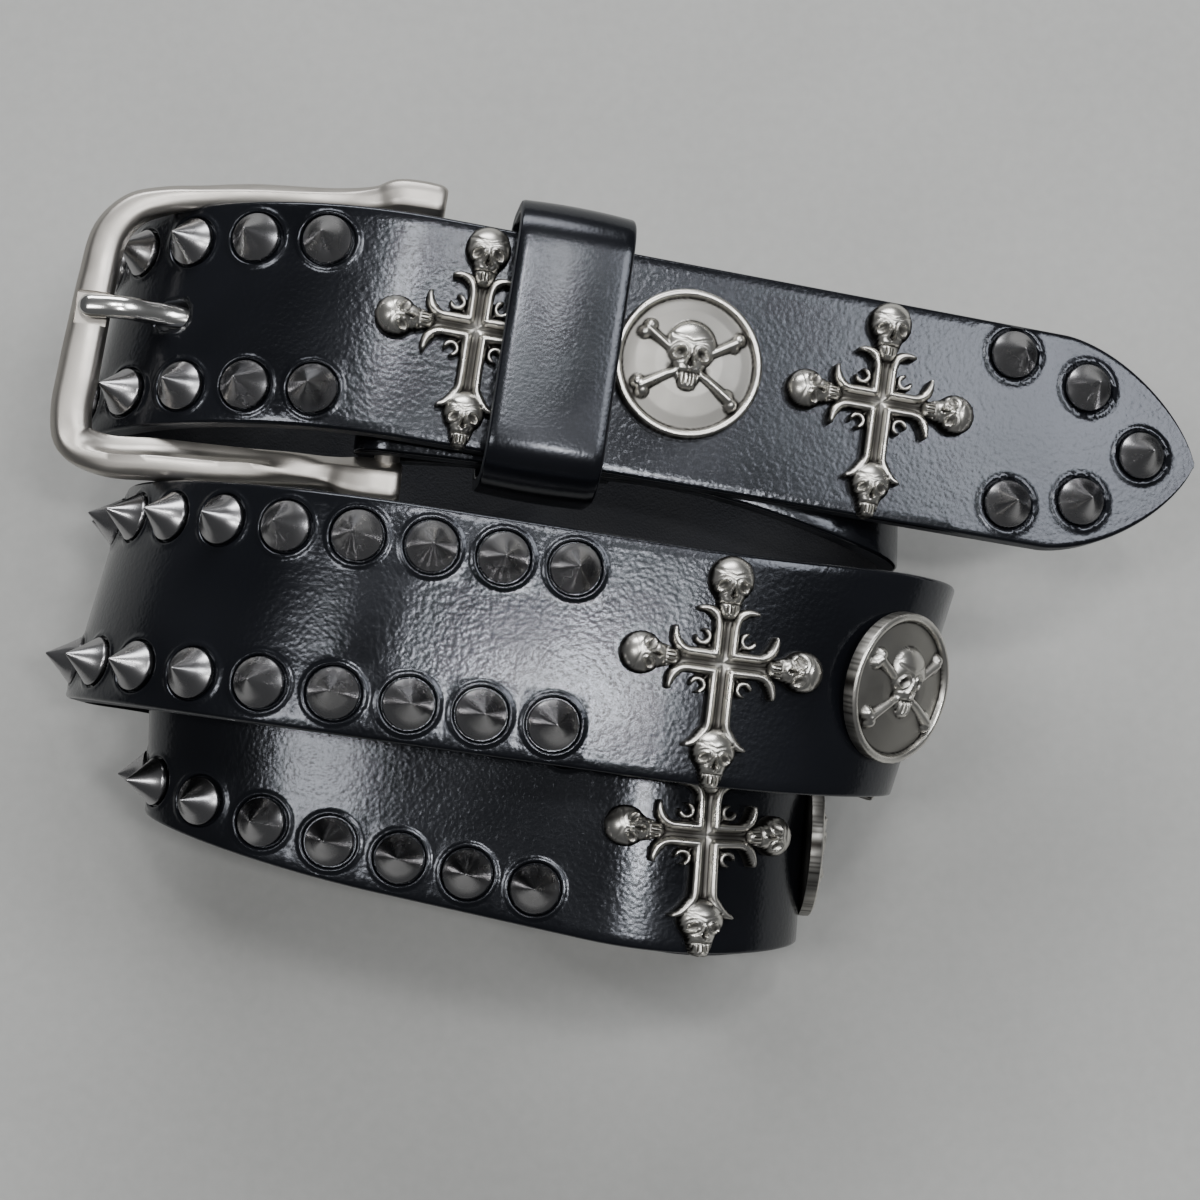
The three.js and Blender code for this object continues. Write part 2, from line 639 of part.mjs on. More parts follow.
// The prong's way from its ring round the heel bar, through the used hole, to its rest on the toe bar
function prongGeometry() {
  const frame = buckleFrame();
  const ringRadius = barRadius + clearance + prong.wall;
  const hole = path.fromTip(seats.usedHole).point;
  const start = bucklePoint(0, 0, 0).addScaledVector(frame.along, ringRadius - prong.wall / 2);
  const onToeBar = (reach) => {
    return bucklePoint(reach, prongSide(reach), 1).addScaledVector(frame.out, prongRise());
  };
  const centres = [start, bucklePoint(0.32, prongSide(0.32), 0), hole, onToeBar(0.94), onToeBar(1.02)];
  const curve = new THREE.CatmullRomCurve3(centres, false, "centripetal");
  const rings = [];
  for (let index = 0; index <= prong.sections; index += 1) {
    const share = index / prong.sections;
    const tangent = curve.getTangentAt(share);
    const across = frame.out.clone().cross(tangent).normalize();
    const up = tangent.clone().cross(across).normalize();
    const narrow = share > 0.97 ? 0.7 : 1;
    rings.push(barSection(curve.getPointAt(share), across, up, narrow * prong.width, narrow * prong.thickness));
  }
  const half = prong.width / 2;
  const inner = barRadius + clearance;
  const profile = [[inner, -half], [ringRadius, -half], [ringRadius, half], [inner, half], [inner, -half]];
  const ring = new THREE.LatheGeometry(profile.map(([x, y]) => new THREE.Vector2(x, y)), prong.ringSides);
  const bore = new THREE.CylinderGeometry(inner, inner, 2 * prong.width, prong.ringSides).applyMatrix4(heelBarMatrix());
  const hook = toSolid(ring.applyMatrix4(heelBarMatrix())).add(toSolid(loft(rings)));
  return toGeometry(hook.subtract(toSolid(bore)));
}

const belt = new THREE.Group();

function addPiece(name, geometry, finish) {
  geometry.computeVertexNormals();
  const material = new THREE.MeshStandardMaterial({ ...finishes[finish], flatShading: true });
  const piece = new THREE.Mesh(geometry, material);
  piece.name = name;
  belt.add(piece);
  return piece;
}

function seat(piece, fromTip, across) {
  const frame = faceFrame(fromTip, across);
  piece.applyMatrix4(frameMatrix(frame, placeOn(frame, 0, 0, clearance)));
}

function buildBelt() {
  const studs = [...tipStudPlaces(), ...studPlaces()];
  addPiece("strap", strapGeometry(studs.filter((place) => !place.own)), "leather");
  for (const place of studs.filter((candidate) => candidate.own)) {
    seat(addPiece(place.name, studGeometry(0, stud.sides), "gunmetal"), place.fromTip, place.across);
  }
  for (const group of groups) {
    const places = groupPlaces(group);
    const flat = toGeometry(crossSolid());
    addPiece(`cross_${group.name}_1`, wrap(flat.clone(), places.tipCross, cross.centreOffset), "silver");
    addPiece(`cross_${group.name}_2`, wrap(flat, places.buckleCross, cross.centreOffset), "silver");
    const disc = addPiece(`medallion_${group.name}`, medallionGeometry(), "silver");
    seat(disc, group.medallion, group.across * strap.width);
  }
  const keeperPiece = addPiece("keeper", keeperGeometry(), "leather");
  keeperPiece.applyMatrix4(keeperMatrix());
  addPiece("buckle_frame", frameGeometry(), "nickel");
  addPiece("prong", prongGeometry(), "nickel");
}

// The keeper's outline lies across the strap and is extruded along it.
function keeperMatrix() {
  const frame = path.fromTip(seats.keeper);
  return new THREE.Matrix4().makeBasis(frame.across, frame.out, frame.along).setPosition(frame.point);
}

// The origin is the middle of the coil's outline, on the surface that its lowest studs touch.
function setDown() {
  const box = new THREE.Box3().setFromObject(belt, true);
  const middle = box.getCenter(vector(0, 0, 0));
  belt.position.set(-middle.x, -middle.y, -box.min.z);
}

buildBelt();
setDown();

export default belt;
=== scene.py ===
"""Studded leather belt, fastened and wound into a coil of three turns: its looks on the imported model.

Sizes are in millimetres. Points along the strap have three strap coordinates: the distance from its tip,
the place across it and the height out of its middle.
"""

import logging
import math
from dataclasses import dataclass, field
from enum import Enum
from typing import Any, Callable, Optional, Sequence

import bmesh
import bpy
import numpy as np
from mathutils import Euler, Matrix, Vector


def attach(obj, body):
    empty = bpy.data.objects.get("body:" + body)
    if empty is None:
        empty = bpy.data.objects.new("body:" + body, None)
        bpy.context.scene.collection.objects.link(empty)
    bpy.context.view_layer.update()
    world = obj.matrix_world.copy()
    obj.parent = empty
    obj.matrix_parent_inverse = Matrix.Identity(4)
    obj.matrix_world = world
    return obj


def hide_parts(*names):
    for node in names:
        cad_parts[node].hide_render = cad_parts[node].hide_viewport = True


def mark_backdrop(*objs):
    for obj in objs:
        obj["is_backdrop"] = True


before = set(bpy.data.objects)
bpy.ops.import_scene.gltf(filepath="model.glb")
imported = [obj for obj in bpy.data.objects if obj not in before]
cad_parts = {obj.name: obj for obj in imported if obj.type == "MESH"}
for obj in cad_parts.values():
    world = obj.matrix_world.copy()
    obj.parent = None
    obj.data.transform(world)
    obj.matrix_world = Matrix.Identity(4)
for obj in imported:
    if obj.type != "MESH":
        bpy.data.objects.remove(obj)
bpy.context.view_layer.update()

log = logging.getLogger("belt")
Array = np.ndarray
Colour = tuple[float, float, float]
Column = tuple[list[int], list[int]]
Polyline = Sequence[tuple[float, float]]

GROUP_SHIFT = np.array([-3.189, -6.717, 0.049])
BEZIER_ROUND = 0.5523
HIDE_MAP = "hide_map"
RECESS = "recess"
TURNED = "turned_radius"


# Sizes


@dataclass(frozen=True)
class StrapSizes:
    """The leather strap and the coil that it is wound into."""

    width: float = 38.0
    thickness: float = 3.4
    nose_length: float = 26.0
    nose_fullness: float = 1.7
    nose_roundness: float = 0.7
    bluntness: float = 0.004
    clearance: float = 0.3
    coil_length: float = 142.4
    coil_height: float = 79.9
    table_height: float = 7.3
    layer_rise: float = 9.3
    fold_radius: float = 4.2
    fold_length: float = 38.0
    fold_settle: float = 14.0


@dataclass(frozen=True)
class Bend:
    """One turn of the coil, in shares of the coil's length, the strap's width and the coil's height."""

    side: int
    reach: float
    nested: int
    y_top: float
    y_mid: float
    y_low: float
    z_top: float
    under: int
    z_mid: float
    layer: int
    run_top: float
    run_low: float
    lean: float


BENDS = (
    Bend(1, 0.365, 0, 1.079, 0.737, 0.447, 0.768, 1, 0.488, 1, 0.323, 0.225, 2.0),
    Bend(-1, 0.618, 1, -0.763, -0.382, -0.195, 0.713, 0, 0.45, 1, 0.323, 0.225, 0.0),
    Bend(1, 0.378, 2, -0.961, -1.005, -0.974, 0.713, 0, 0.357, 0, 0.239, 0.239, 5.0),
    Bend(-1, 0.615, 0, -0.113, 0.105, -0.158, 1.0, 0, 0.463, 0, 0.4, 0.225, 15.5),
    Bend(1, 0.386, 0, -0.263, -0.334, -0.053, 0.92, 0, 0.526, 0, 0.309, 0.211, 18.5),
    Bend(-1, 0.611, 0, 1.21, 1.282, 1.079, 0.857, 0, 0.501, 0, 0.407, 0.295, 12.0),
)


@dataclass(frozen=True)
class StrapEnd:
    """An end of the wound strap, in the shares that Bend has."""

    x: float
    y: float
    z: float
    under: int


HEEL = StrapEnd(-0.239, 1.184, 0.821, 1)
TIP = StrapEnd(0.73, 0.697, 0.588, 0)


@dataclass(frozen=True)
class OrnamentGroup:
    """A medallion's distance from the tip, with a cross on each side of it."""

    name: str
    medallion: float
    across: float
    to_tip: float
    to_buckle: float


GROUPS = (
    OrnamentGroup("tip", 92.0, 0.04, 34.0, 36.0),
    OrnamentGroup("middle", 425.0, 0.0, 36.0, 32.0),
    OrnamentGroup("low", 749.5, -0.04, 36.0, 34.5),
)


def to_frame(points: Array) -> Array:
    """Turns millimetres from the path's own origin into metres in the frame."""
    return (points + GROUP_SHIFT) / 1000.0


def unit(vectors: Array) -> Array:
    """Scales each vector to length 1."""
    return vectors / np.linalg.norm(vectors, axis=-1, keepdims=True)


# The strap's path


@dataclass
class Frames:
    """Points on the strap's middle, with its along, across and out directions there."""

    point: Array
    along: Array
    across: Array
    out: Array

    def place(self, forward: Any, across: Any, out: Any) -> Array:
        """Points at the given millimetres along the three directions."""
        parts = ((forward, self.along), (across, self.across), (out, self.out))
        return self.point + sum(np.asarray(size, float)[..., None] * way for size, way in parts)


class StrapPath:
    """The wound strap's middle line as a chain of curves, with the lean of its width."""

    samples = 200

    def __init__(self, sizes: StrapSizes) -> None:
        """Builds every curve from the fold round the heel bar to the tip.

        Args:
            sizes: The strap's and the coil's sizes.
        """
        self.sizes = sizes
        self.controls: list[Array] = []
        self.leans: list[tuple[float, float]] = []
        joints = [self.bend_points(bend, index % 2 == 0) for index, bend in enumerate(BENDS)]
        self.heel = self.end_point(HEEL)
        starts = [self.heel] + [joint[2] for joint in joints]
        stops = [joint[0] for joint in joints] + [self.end_point(TIP)]
        self.headings = [unit(stop - start) for start, stop in zip(starts, stops)]
        heel_lean = math.degrees(math.atan2(-self.headings[0][1], self.headings[0][0]))
        self.add_fold(heel_lean)
        for index, (start, stop) in enumerate(zip(starts, stops)):
            before = heel_lean if index == 0 else BENDS[index - 1].lean
            after = 0.0 if index == len(BENDS) else BENDS[index].lean
            self.add_stretch(start, stop, self.headings[index], before, after)
            if index < len(BENDS):
                self.add_bend(index, joints[index])
        self.measure()

    def bend_points(self, bend: Bend, goes_down: bool) -> tuple[Array, Array, Array]:
        """Where the strap enters a bend, stands upright in it and leaves it."""
        size = self.sizes
        extreme = bend.side * (bend.reach * size.coil_length - bend.nested * size.layer_rise)

        def place(run: float, y: float, z: float) -> Array:
            """A point that many runs inside the bend's furthest reach."""
            return np.array([extreme - bend.side * run * size.coil_length, y * size.width, z])

        top = place(bend.run_top, bend.y_top, bend.z_top * size.coil_height - bend.under * size.thickness)
        middle = place(0.0, bend.y_mid, bend.z_mid * size.coil_height)
        low = place(bend.run_low, bend.y_low, size.table_height + bend.layer * size.layer_rise)
        return (top, middle, low) if goes_down else (low, middle, top)

    def end_point(self, end: StrapEnd) -> Array:
        """The place of an end of the strap's free stretches."""
        size = self.sizes
        z = end.z * size.coil_height - end.under * size.thickness
        return np.array([end.x * size.coil_length, end.y * size.width, z])

    def add(self, points: Sequence[Array], lean_from: float, lean_to: float) -> None:
        """Adds one curve by its four control points."""
        self.controls.append(np.array(points))
        self.leans.append((lean_from, lean_to))

    def add_stretch(self, start: Array, stop: Array, heading: Array, lean_from: float,
                    lean_to: float) -> None:
        """Adds a nearly straight stretch that keeps its heading at both ends."""
        third = np.linalg.norm(stop - start) / 3
        self.add((start, start + third * heading, stop - third * heading, stop), lean_from, lean_to)

    def add_bend(self, index: int, joint: tuple[Array, Array, Array]) -> None:
        """Adds the two quarter ellipses of a bend."""
        enter, middle, leave = joint
        lean = BENDS[index].lean

        def handle(point: Array, heading: Array) -> float:
            """Length of the handle where the strap lies nearly level."""
            return BEZIER_ROUND * abs(point[0] - middle[0]) / abs(heading[0])

        def upright(point: Array) -> Array:
            """Handle where the strap stands upright, longer in a slender bend."""
            rise = point[2] - middle[2]
            slenderness = max(1.0, abs((point[0] - middle[0]) / rise))
            return np.array([0.0, 0.0, BEZIER_ROUND * rise * slenderness ** 0.45])

        arriving, leaving = self.headings[index], self.headings[index + 1]
        first = enter + handle(enter, arriving) * arriving
        last = leave - handle(leave, leaving) * leaving
        self.add((enter, first, middle + upright(enter), middle), lean, lean)
        self.add((middle, middle + upright(leave), last, leave), lean, lean)

    def add_fold(self, lean: float) -> None:
        """Adds the fold at the buckle end, which lies back under the strap."""
        size = self.sizes
        along = self.headings[0]
        out = np.cross(along, self.width_direction(along, np.array(lean)))

        def place(forward: float, down: float) -> Array:
            """A point forward of the heel and down from it."""
            return self.heel + forward * along - down * out

        radius = size.fold_radius
        k = BEZIER_ROUND * radius
        close = size.thickness + size.clearance
        third = size.fold_settle / 3
        end, settle = place(size.fold_length, close), place(size.fold_settle, close)
        under, side = place(0, 2 * radius), place(-radius, radius)
        self.add_stretch(end, settle, -along, lean, lean)
        after = (settle, place(size.fold_settle - third, close), place(third, 2 * radius), under)
        self.add(after, lean, lean)
        self.add((under, place(-k, 2 * radius), place(-radius, radius + k), side), lean, lean)
        self.add((side, place(-radius, radius - k), place(-k, 0), self.heel), lean, lean)

    def measure(self) -> None:
        """Works out every curve's length and its table of distances."""
        self.shares = np.linspace(0, 1, self.samples + 1)
        self.tables = []
        for points in self.controls:
            steps = np.diff(self.bezier(points[None], self.shares), axis=0)
            self.tables.append(np.concatenate([[0], np.cumsum(np.linalg.norm(steps, axis=1))]))
        self.lengths = np.array([table[-1] for table in self.tables])
        self.ends = np.cumsum(self.lengths)
        self.length = float(self.ends[-1])
        self.heel_distance = float(self.ends[3])

    @staticmethod
    def bezier(points: Array, t: Array) -> Array:
        """Points at the shares t of the curves with those control points."""
        s = 1 - t
        weights = (s ** 3, 3 * s * s * t, 3 * s * t * t, t ** 3)
        return sum(weight[:, None] * points[:, index] for index, weight in enumerate(weights))

    @staticmethod
    def tangent(points: Array, t: Array) -> Array:
        """Directions of the curves at the shares t."""
        s = 1 - t
        weights = (s * s, 2 * s * t, t * t)
        steps = np.diff(points, axis=1)
        return unit(sum(weight[:, None] * steps[:, index] for index, weight in enumerate(weights)))

    @staticmethod
    def width_direction(along: Array, lean: Array) -> Array:
        """The strap's across direction: in the turn's lean and square to its path."""
        angle = np.radians(lean)
        axis = np.stack([np.sin(angle), np.cos(angle), np.zeros_like(angle)], axis=-1)
        return unit(axis - np.sum(axis * along, axis=-1, keepdims=True) * along)

    def from_tip(self, distance: Any) -> Frames:
        """The strap's frames at distances from its tip.

        Args:
            distance: One distance, or an array of them.

        Returns:
            Frames: One row for each distance, or bare vectors for one distance.
        """
        asked = np.clip(self.length - np.asarray(distance, float), 0, self.length)
        flat = np.atleast_1d(asked)
        index = np.minimum(np.searchsorted(self.ends, flat), len(self.ends) - 1)
        rest = flat - (self.ends - self.lengths)[index]
        share = np.clip(rest / self.lengths[index], 0, 1)
        t = np.empty_like(flat)
        for curve in np.unique(index):
            mine = index == curve
            t[mine] = np.interp(rest[mine], self.tables[curve], self.shares)
        controls = np.array(self.controls)[index]
        leans = np.array(self.leans)[index]
        smooth = share * share * (3 - 2 * share)
        lean = leans[:, 0] + (leans[:, 1] - leans[:, 0]) * smooth
        along = self.tangent(controls, t)
        across = self.width_direction(along, lean)
        frames = Frames(self.bezier(controls, t), along, across, np.cross(along, across))
        if asked.ndim == 0:
            return Frames(frames.point[0], frames.along[0], frames.across[0], frames.out[0])
        return frames

    def face(self, distance: float, across: float) -> Frames:
        """The frame on the strap's outer face, square to the face at that place across it."""
        half = self.sizes.thickness / 2
        near = self.from_tip(np.array([distance - 1.0, distance, distance + 1.0]))
        points = near.place(0, across, half)
        along = unit(points[0] - points[2])
        out = unit(np.cross(along, near.across[1]))
        return Frames(points[1], along, np.cross(out, along), out)

    def half_width(self, distance: Array) -> Array:
        """Half of the strap's width: full behind the rounded nose."""
        size = self.sizes
        share = np.clip(np.asarray(distance, float) / size.nose_length, size.bluntness, 1)
        return size.width / 2 * (1 - (1 - share) ** size.nose_fullness) ** size.nose_roundness


# Meshes


@dataclass
class Draft:
    """Points and faces of a mesh in the making."""

    points: Array
    faces: list[Sequence[int]]
    slots: Optional[Sequence[int]] = None
    values: dict[str, Array] = field(default_factory=dict)
    hide: Optional[Array] = None

    def piece(self, name: str, materials: Sequence[bpy.types.Material],
              sharp: float = 40.0) -> bpy.types.Object:
        """Makes the object, in metres in the frame.

        Args:
            name: The piece's name.
            materials: Its materials, in the order of the faces' slots.
            sharp: Angle in degrees above which an edge shades as a hard one.

        Returns:
            bpy.types.Object: The new object, at the origin.
        """
        mesh = bpy.data.meshes.new(name)
        mesh.from_pydata(to_frame(self.points).tolist(), [], [list(face) for face in self.faces])
        for material in materials:
            mesh.materials.append(material)
        if self.slots is not None:
            mesh.polygons.foreach_set("material_index", list(self.slots))
        for key, values in self.values.items():
            mesh.attributes.new(key, "FLOAT", "POINT").data.foreach_set("value", values.astype(np.float32))
        if self.hide is not None:
            self.map_hide(mesh)
        mesh.polygons.foreach_set("use_smooth", [True] * len(mesh.polygons))
        mesh.set_sharp_from_angle(angle=math.radians(sharp))
        piece = bpy.data.objects.new(name, mesh)
        bpy.context.scene.collection.objects.link(piece)
        return piece


    def map_hide(self, mesh: bpy.types.Mesh) -> None:
        """Maps leather by its place on the hide in decimetres: along, and across or up a cut edge."""
        corners = np.empty(len(mesh.loops), int)
        mesh.loops.foreach_get("vertex_index", corners)
        sizes = np.empty(len(mesh.polygons), int)
        mesh.polygons.foreach_get("loop_total", sizes)
        cut = np.repeat(np.array(self.slots) == 1, sizes)
        places = self.hide[corners]
        second = np.where(cut, places[:, 2] + 60, places[:, 1])
        flat = np.stack([places[:, 0], second], axis=1) / 100
        mesh.uv_layers.new(name=HIDE_MAP).data.foreach_set("uv", flat.astype(np.float32).ravel())


def bake_modifiers(piece: bpy.types.Object) -> bpy.types.Object:
    """Turns a piece's modifiers into its mesh, and takes them off."""
    depsgraph = bpy.context.evaluated_depsgraph_get()
    evaluated = piece.evaluated_get(depsgraph)
    mesh = bpy.data.meshes.new_from_object(evaluated, preserve_all_data_layers=True, depsgraph=depsgraph)
    mesh.name = piece.name
    piece.modifiers.clear()
    piece.data = mesh
    return piece


def face_outwards(piece: bpy.types.Object) -> None:
    """Turns every face of a piece outwards."""
    work = bmesh.new()
    work.from_mesh(piece.data)
    bmesh.ops.recalc_face_normals(work, faces=work.faces)
    work.to_mesh(piece.data)
    work.free()


def cut_away(piece: bpy.types.Object, cutter: bpy.types.Object, name: str) -> None:
    """Cuts a shape out of a piece and removes the shape.

    Args:
        piece: The piece that is cut.
        cutter: The shape to take away.
        name: Name of the cut.
    """
    cut = piece.modifiers.new(name, "BOOLEAN")
    cut.operation = "DIFFERENCE"
    cut.object = cutter
    cut.solver = "EXACT"
    bake_modifiers(piece)
    bpy.data.objects.remove(cutter)


def finish_piece(piece: bpy.types.Object, nodes: Sequence[str]) -> None:
    """Gives a piece its body and the solids that it stands for."""
    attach(piece, "root")
    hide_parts(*nodes)
    mesh = piece.data
    triangles = sum(len(face.vertices) - 2 for face in mesh.polygons)
    log.info("%s: %d triangles, stands for %s", piece.name, triangles, ", ".join(nodes[:3]))


def ring_faces(rings: int, size: int, closed: bool = True) -> list[tuple[int, ...]]:
    """Quads between rings of points that turn the way that faces them outwards.

    Args:
        rings: Number of rings.
        size: Points in each ring.
        closed: Whether each ring closes on itself.

    Returns:
        list: The quads.
    """
    faces = []
    for ring in range(rings - 1):
        for corner in range(size if closed else size - 1):
            after = (corner + 1) % size
            a, b = ring * size + corner, ring * size + after
            faces.append((a, b, b + size, a + size))
    return faces


# Finishes


class TreeDraft:
    """Adds nodes to one tree and links them."""

    def __init__(self, tree: bpy.types.NodeTree) -> None:
        """Starts on a tree, which may hold nodes already."""
        self.tree = tree

    def add(self, kind: str, inputs: Optional[dict[Any, Any]] = None, **settings: Any) -> bpy.types.Node:
        """Adds a node.

        Args:
            kind: The node's type.
            inputs: Values, or output sockets to link, by the input's name or number.
            settings: The node's own settings.

        Returns:
            bpy.types.Node: The new node.
        """
        node = self.tree.nodes.new(kind)
        for key, value in settings.items():
            setattr(node, key, value)
        for key, value in (inputs or {}).items():
            if isinstance(value, bpy.types.NodeSocket):
                self.tree.links.new(value, node.inputs[key])
            else:
                node.inputs[key].default_value = value
        return node

    def math(self, operation: str, first: Any, second: Any = 0.0, third: Any = 0.0) -> bpy.types.NodeSocket:
        """Adds a Math node and returns its output."""
        return self.add("ShaderNodeMath", {0: first, 1: second, 2: third}, operation=operation).outputs[0]

    def blend(self, share: Any, first: Any, second: Any) -> bpy.types.NodeSocket:
        """Mixes two colours and returns the mixed one."""
        node = self.add("ShaderNodeMix", data_type="RGBA")
        for socket, value in ((node.inputs[0], share), (node.inputs[6], first), (node.inputs[7], second)):
            if isinstance(value, bpy.types.NodeSocket):
                self.tree.links.new(value, socket)
            else:
                socket.default_value = (*value, 1.0) if isinstance(value, tuple) else value
        return node.outputs[2]

    def span(self, value: Any, low: float, high: float, to_low: float,
             to_high: float) -> bpy.types.NodeSocket:
        """Maps a value from one range to another, clamped."""
        inputs = {0: value, 1: low, 2: high, 3: to_low, 4: to_high}
        return self.add("ShaderNodeMapRange", inputs, clamp=True).outputs[0]


def effect_group(name: str, inputs: dict[str, tuple[str, float]], outputs: Sequence[str],
                 draw: Callable[[TreeDraft, Any], dict[str, Any]]) -> bpy.types.NodeTree:
    """Builds a shader node group once.

    Args:
        name: The group's name.
        inputs: Kind and first value by socket name.
        outputs: Names of its float outputs.
        draw: Draws the nodes and returns the sockets to put out, by name.

    Returns:
        bpy.types.NodeTree: The group.
    """
    if name in bpy.data.node_groups:
        return bpy.data.node_groups[name]
    tree = bpy.data.node_groups.new(name, "ShaderNodeTree")
    for key, (kind, value) in inputs.items():
        socket = tree.interface.new_socket(key, in_out="INPUT", socket_type=kind)
        if kind == "NodeSocketFloat":
            socket.default_value = value
    for key in outputs:
        tree.interface.new_socket(key, in_out="OUTPUT", socket_type="NodeSocketFloat")
    draft = TreeDraft(tree)
    start = draft.add("NodeGroupInput")
    results = draw(draft, start.outputs)
    draft.add("NodeGroupOutput", results)
    return tree


def pebble_grain() -> bpy.types.NodeTree:
    """Leather's pebbled grain: the height of its pebbles and creases, and where it is worn smooth."""

    def draw(draft: TreeDraft, given: Any) -> dict[str, Any]:
        """Two sizes of pebble over slow waves of the hide."""
        place = given["Place"]
        fine = draft.math("DIVIDE", 1.0, given["Pebble"])
        coarse = draft.math("MULTIPLY", fine, 0.43)
        slow = draft.math("MULTIPLY", fine, 0.035)
        bend = draft.add("ShaderNodeTexNoise", {"Vector": place, "Scale": coarse, "Detail": 2.0})
        moved = draft.add("ShaderNodeVectorMath", {0: bend.outputs["Color"], 3: 0.3}, operation="SCALE")
        moved_place = draft.add("ShaderNodeVectorMath", {0: place, 1: moved.outputs[0]}, operation="ADD")
        warped = moved_place.outputs[0]
        pebbles = draft.add("ShaderNodeTexVoronoi", {"Vector": warped, "Scale": fine, "Smoothness": 0.7},
                            feature="SMOOTH_F1")
        creases = draft.add("ShaderNodeTexNoise", {"Vector": warped, "Scale": coarse, "Detail": 5.0,
                                                   "Roughness": 0.62})
        waves = draft.add("ShaderNodeTexNoise", {"Vector": place, "Scale": slow, "Detail": 1.0})
        height = draft.math("MULTIPLY_ADD", pebbles.outputs["Distance"], -0.55, creases.outputs["Fac"])
        return {"Height": height, "Worn": waves.outputs["Fac"]}

    inputs = {"Place": ("NodeSocketVector", 0.0), "Pebble": ("NodeSocketFloat", 0.6)}
    return effect_group("pebble_grain", inputs, ("Height", "Worn"), draw)


def fine_wear() -> bpy.types.NodeTree:
    """Metal's fine brushing and handling marks."""

    def draw(draft: TreeDraft, given: Any) -> dict[str, Any]:
        """Stretched fine noise with slow patches over it."""
        grain = draft.add("ShaderNodeTexNoise", {"Vector": given["Place"], "Scale": given["Grain"],
                                                 "Detail": 3.0, "Roughness": 0.7})
        slow = draft.math("MULTIPLY", given["Grain"], 0.06)
        patch = draft.add("ShaderNodeTexNoise", {"Vector": given["Place"], "Scale": slow, "Detail": 3.0})
        return {"Height": grain.outputs["Fac"], "Patch": patch.outputs["Fac"]}

    inputs = {"Place": ("NodeSocketVector", 0.0), "Grain": ("NodeSocketFloat", 4000.0)}
    return effect_group("fine_wear", inputs, ("Height", "Patch"), draw)


def new_material(name: str) -> tuple[bpy.types.Material, TreeDraft, bpy.types.Node]:
    """Starts a material and returns it with its tree and its shader."""
    material = bpy.data.materials.new(name)
    material.use_nodes = True
    draft = TreeDraft(material.node_tree)
    return material, draft, material.node_tree.nodes["Principled BSDF"]


@dataclass(frozen=True)
class Leather:
    """Glossy black full-grain leather, or its cut edge and flesh side."""

    name: str
    colour: Colour = (0.0028, 0.0031, 0.0042)
    worn_colour: Colour = (0.0055, 0.006, 0.0078)
    roughness: float = 0.19
    pebble: float = 0.72
    depth: float = 0.045
    coat: float = 0.06
    coat_roughness: float = 0.12
    specular: float = 0.42

    def material(self) -> bpy.types.Material:
        """Builds the leather's material on the strap's own coordinates."""
        material, draft, shader = new_material(self.name)
        chart = draft.add("ShaderNodeUVMap", uv_map=HIDE_MAP).outputs["UV"]
        place = draft.add("ShaderNodeVectorMath", {0: chart, 3: 100.0}, operation="SCALE").outputs[0]
        grain = draft.add("ShaderNodeGroup", node_tree=pebble_grain())
        draft.tree.links.new(place, grain.inputs["Place"])
        grain.inputs["Pebble"].default_value = self.pebble
        worn = draft.span(grain.outputs["Worn"], 0.35, 0.65, 0.0, 1.0)
        draft.tree.links.new(draft.blend(worn, self.colour, self.worn_colour), shader.inputs["Base Color"])
        rough = draft.span(grain.outputs["Worn"], 0.3, 0.7, self.roughness * 0.9, self.roughness * 1.15)
        draft.tree.links.new(rough, shader.inputs["Roughness"])
        bump = draft.add("ShaderNodeBump", {"Height": grain.outputs["Height"], "Distance": self.depth / 1000,
                                            "Strength": 1.0})
        draft.tree.links.new(bump.outputs["Normal"], shader.inputs["Normal"])
        shader.inputs["Coat Weight"].default_value = self.coat
        shader.inputs["Coat Roughness"].default_value = self.coat_roughness
        shader.inputs["Specular IOR Level"].default_value = self.specular
        shader.inputs["Specular Tint"].default_value = (0.86, 0.9, 1.0, 1.0)
        return material


@dataclass(frozen=True)
class Metal:
    """A metal with fine wear: bright on its high places and, where it is antiqued, dark in its recesses."""

    name: str
    colour: Colour
    dark: Colour
    roughness: float
    grain: float = 3500.0
    depth: float = 0.004
    recess: bool = False
    turned: bool = False

    def material(self) -> bpy.types.Material:
        """Builds the metal's material on Object coordinates."""
        material, draft, shader = new_material(self.name)
        place = draft.add("ShaderNodeTexCoord").outputs["Object"]
        wear = draft.add("ShaderNodeGroup", node_tree=fine_wear())
        draft.tree.links.new(place, wear.inputs["Place"])
        wear.inputs["Grain"].default_value = self.grain
        dim = draft.span(wear.outputs["Patch"], 0.3, 0.75, 0.0, 0.35)
        rough = draft.span(wear.outputs["Patch"], 0.25, 0.75, self.roughness * 0.85, self.roughness * 1.25)
        height = wear.outputs["Height"]
        if self.recess:
            hollow = draft.add("ShaderNodeAttribute", attribute_name=RECESS).outputs["Fac"]
            dim = draft.math("MAXIMUM", hollow, draft.math("MULTIPLY", dim, 0.9))
            rough = draft.math("MULTIPLY_ADD", hollow, 0.22, rough)
        if self.turned:
            radius = draft.add("ShaderNodeAttribute", attribute_name=TURNED).outputs["Fac"]
            lathe = draft.add("ShaderNodeTexNoise", {"W": radius, "Scale": 22.0, "Detail": 3.0},
                              noise_dimensions="1D").outputs["Fac"]
            height = draft.math("MULTIPLY_ADD", lathe, 1.6, height)
        draft.tree.links.new(draft.blend(dim, self.colour, self.dark), shader.inputs["Base Color"])
        draft.tree.links.new(rough, shader.inputs["Roughness"])
        bump = draft.add("ShaderNodeBump", {"Height": height, "Distance": self.depth / 1000,
                                            "Strength": 1.0})
        draft.tree.links.new(bump.outputs["Normal"], shader.inputs["Normal"])
        shader.inputs["Metallic"].default_value = 1.0
        return material


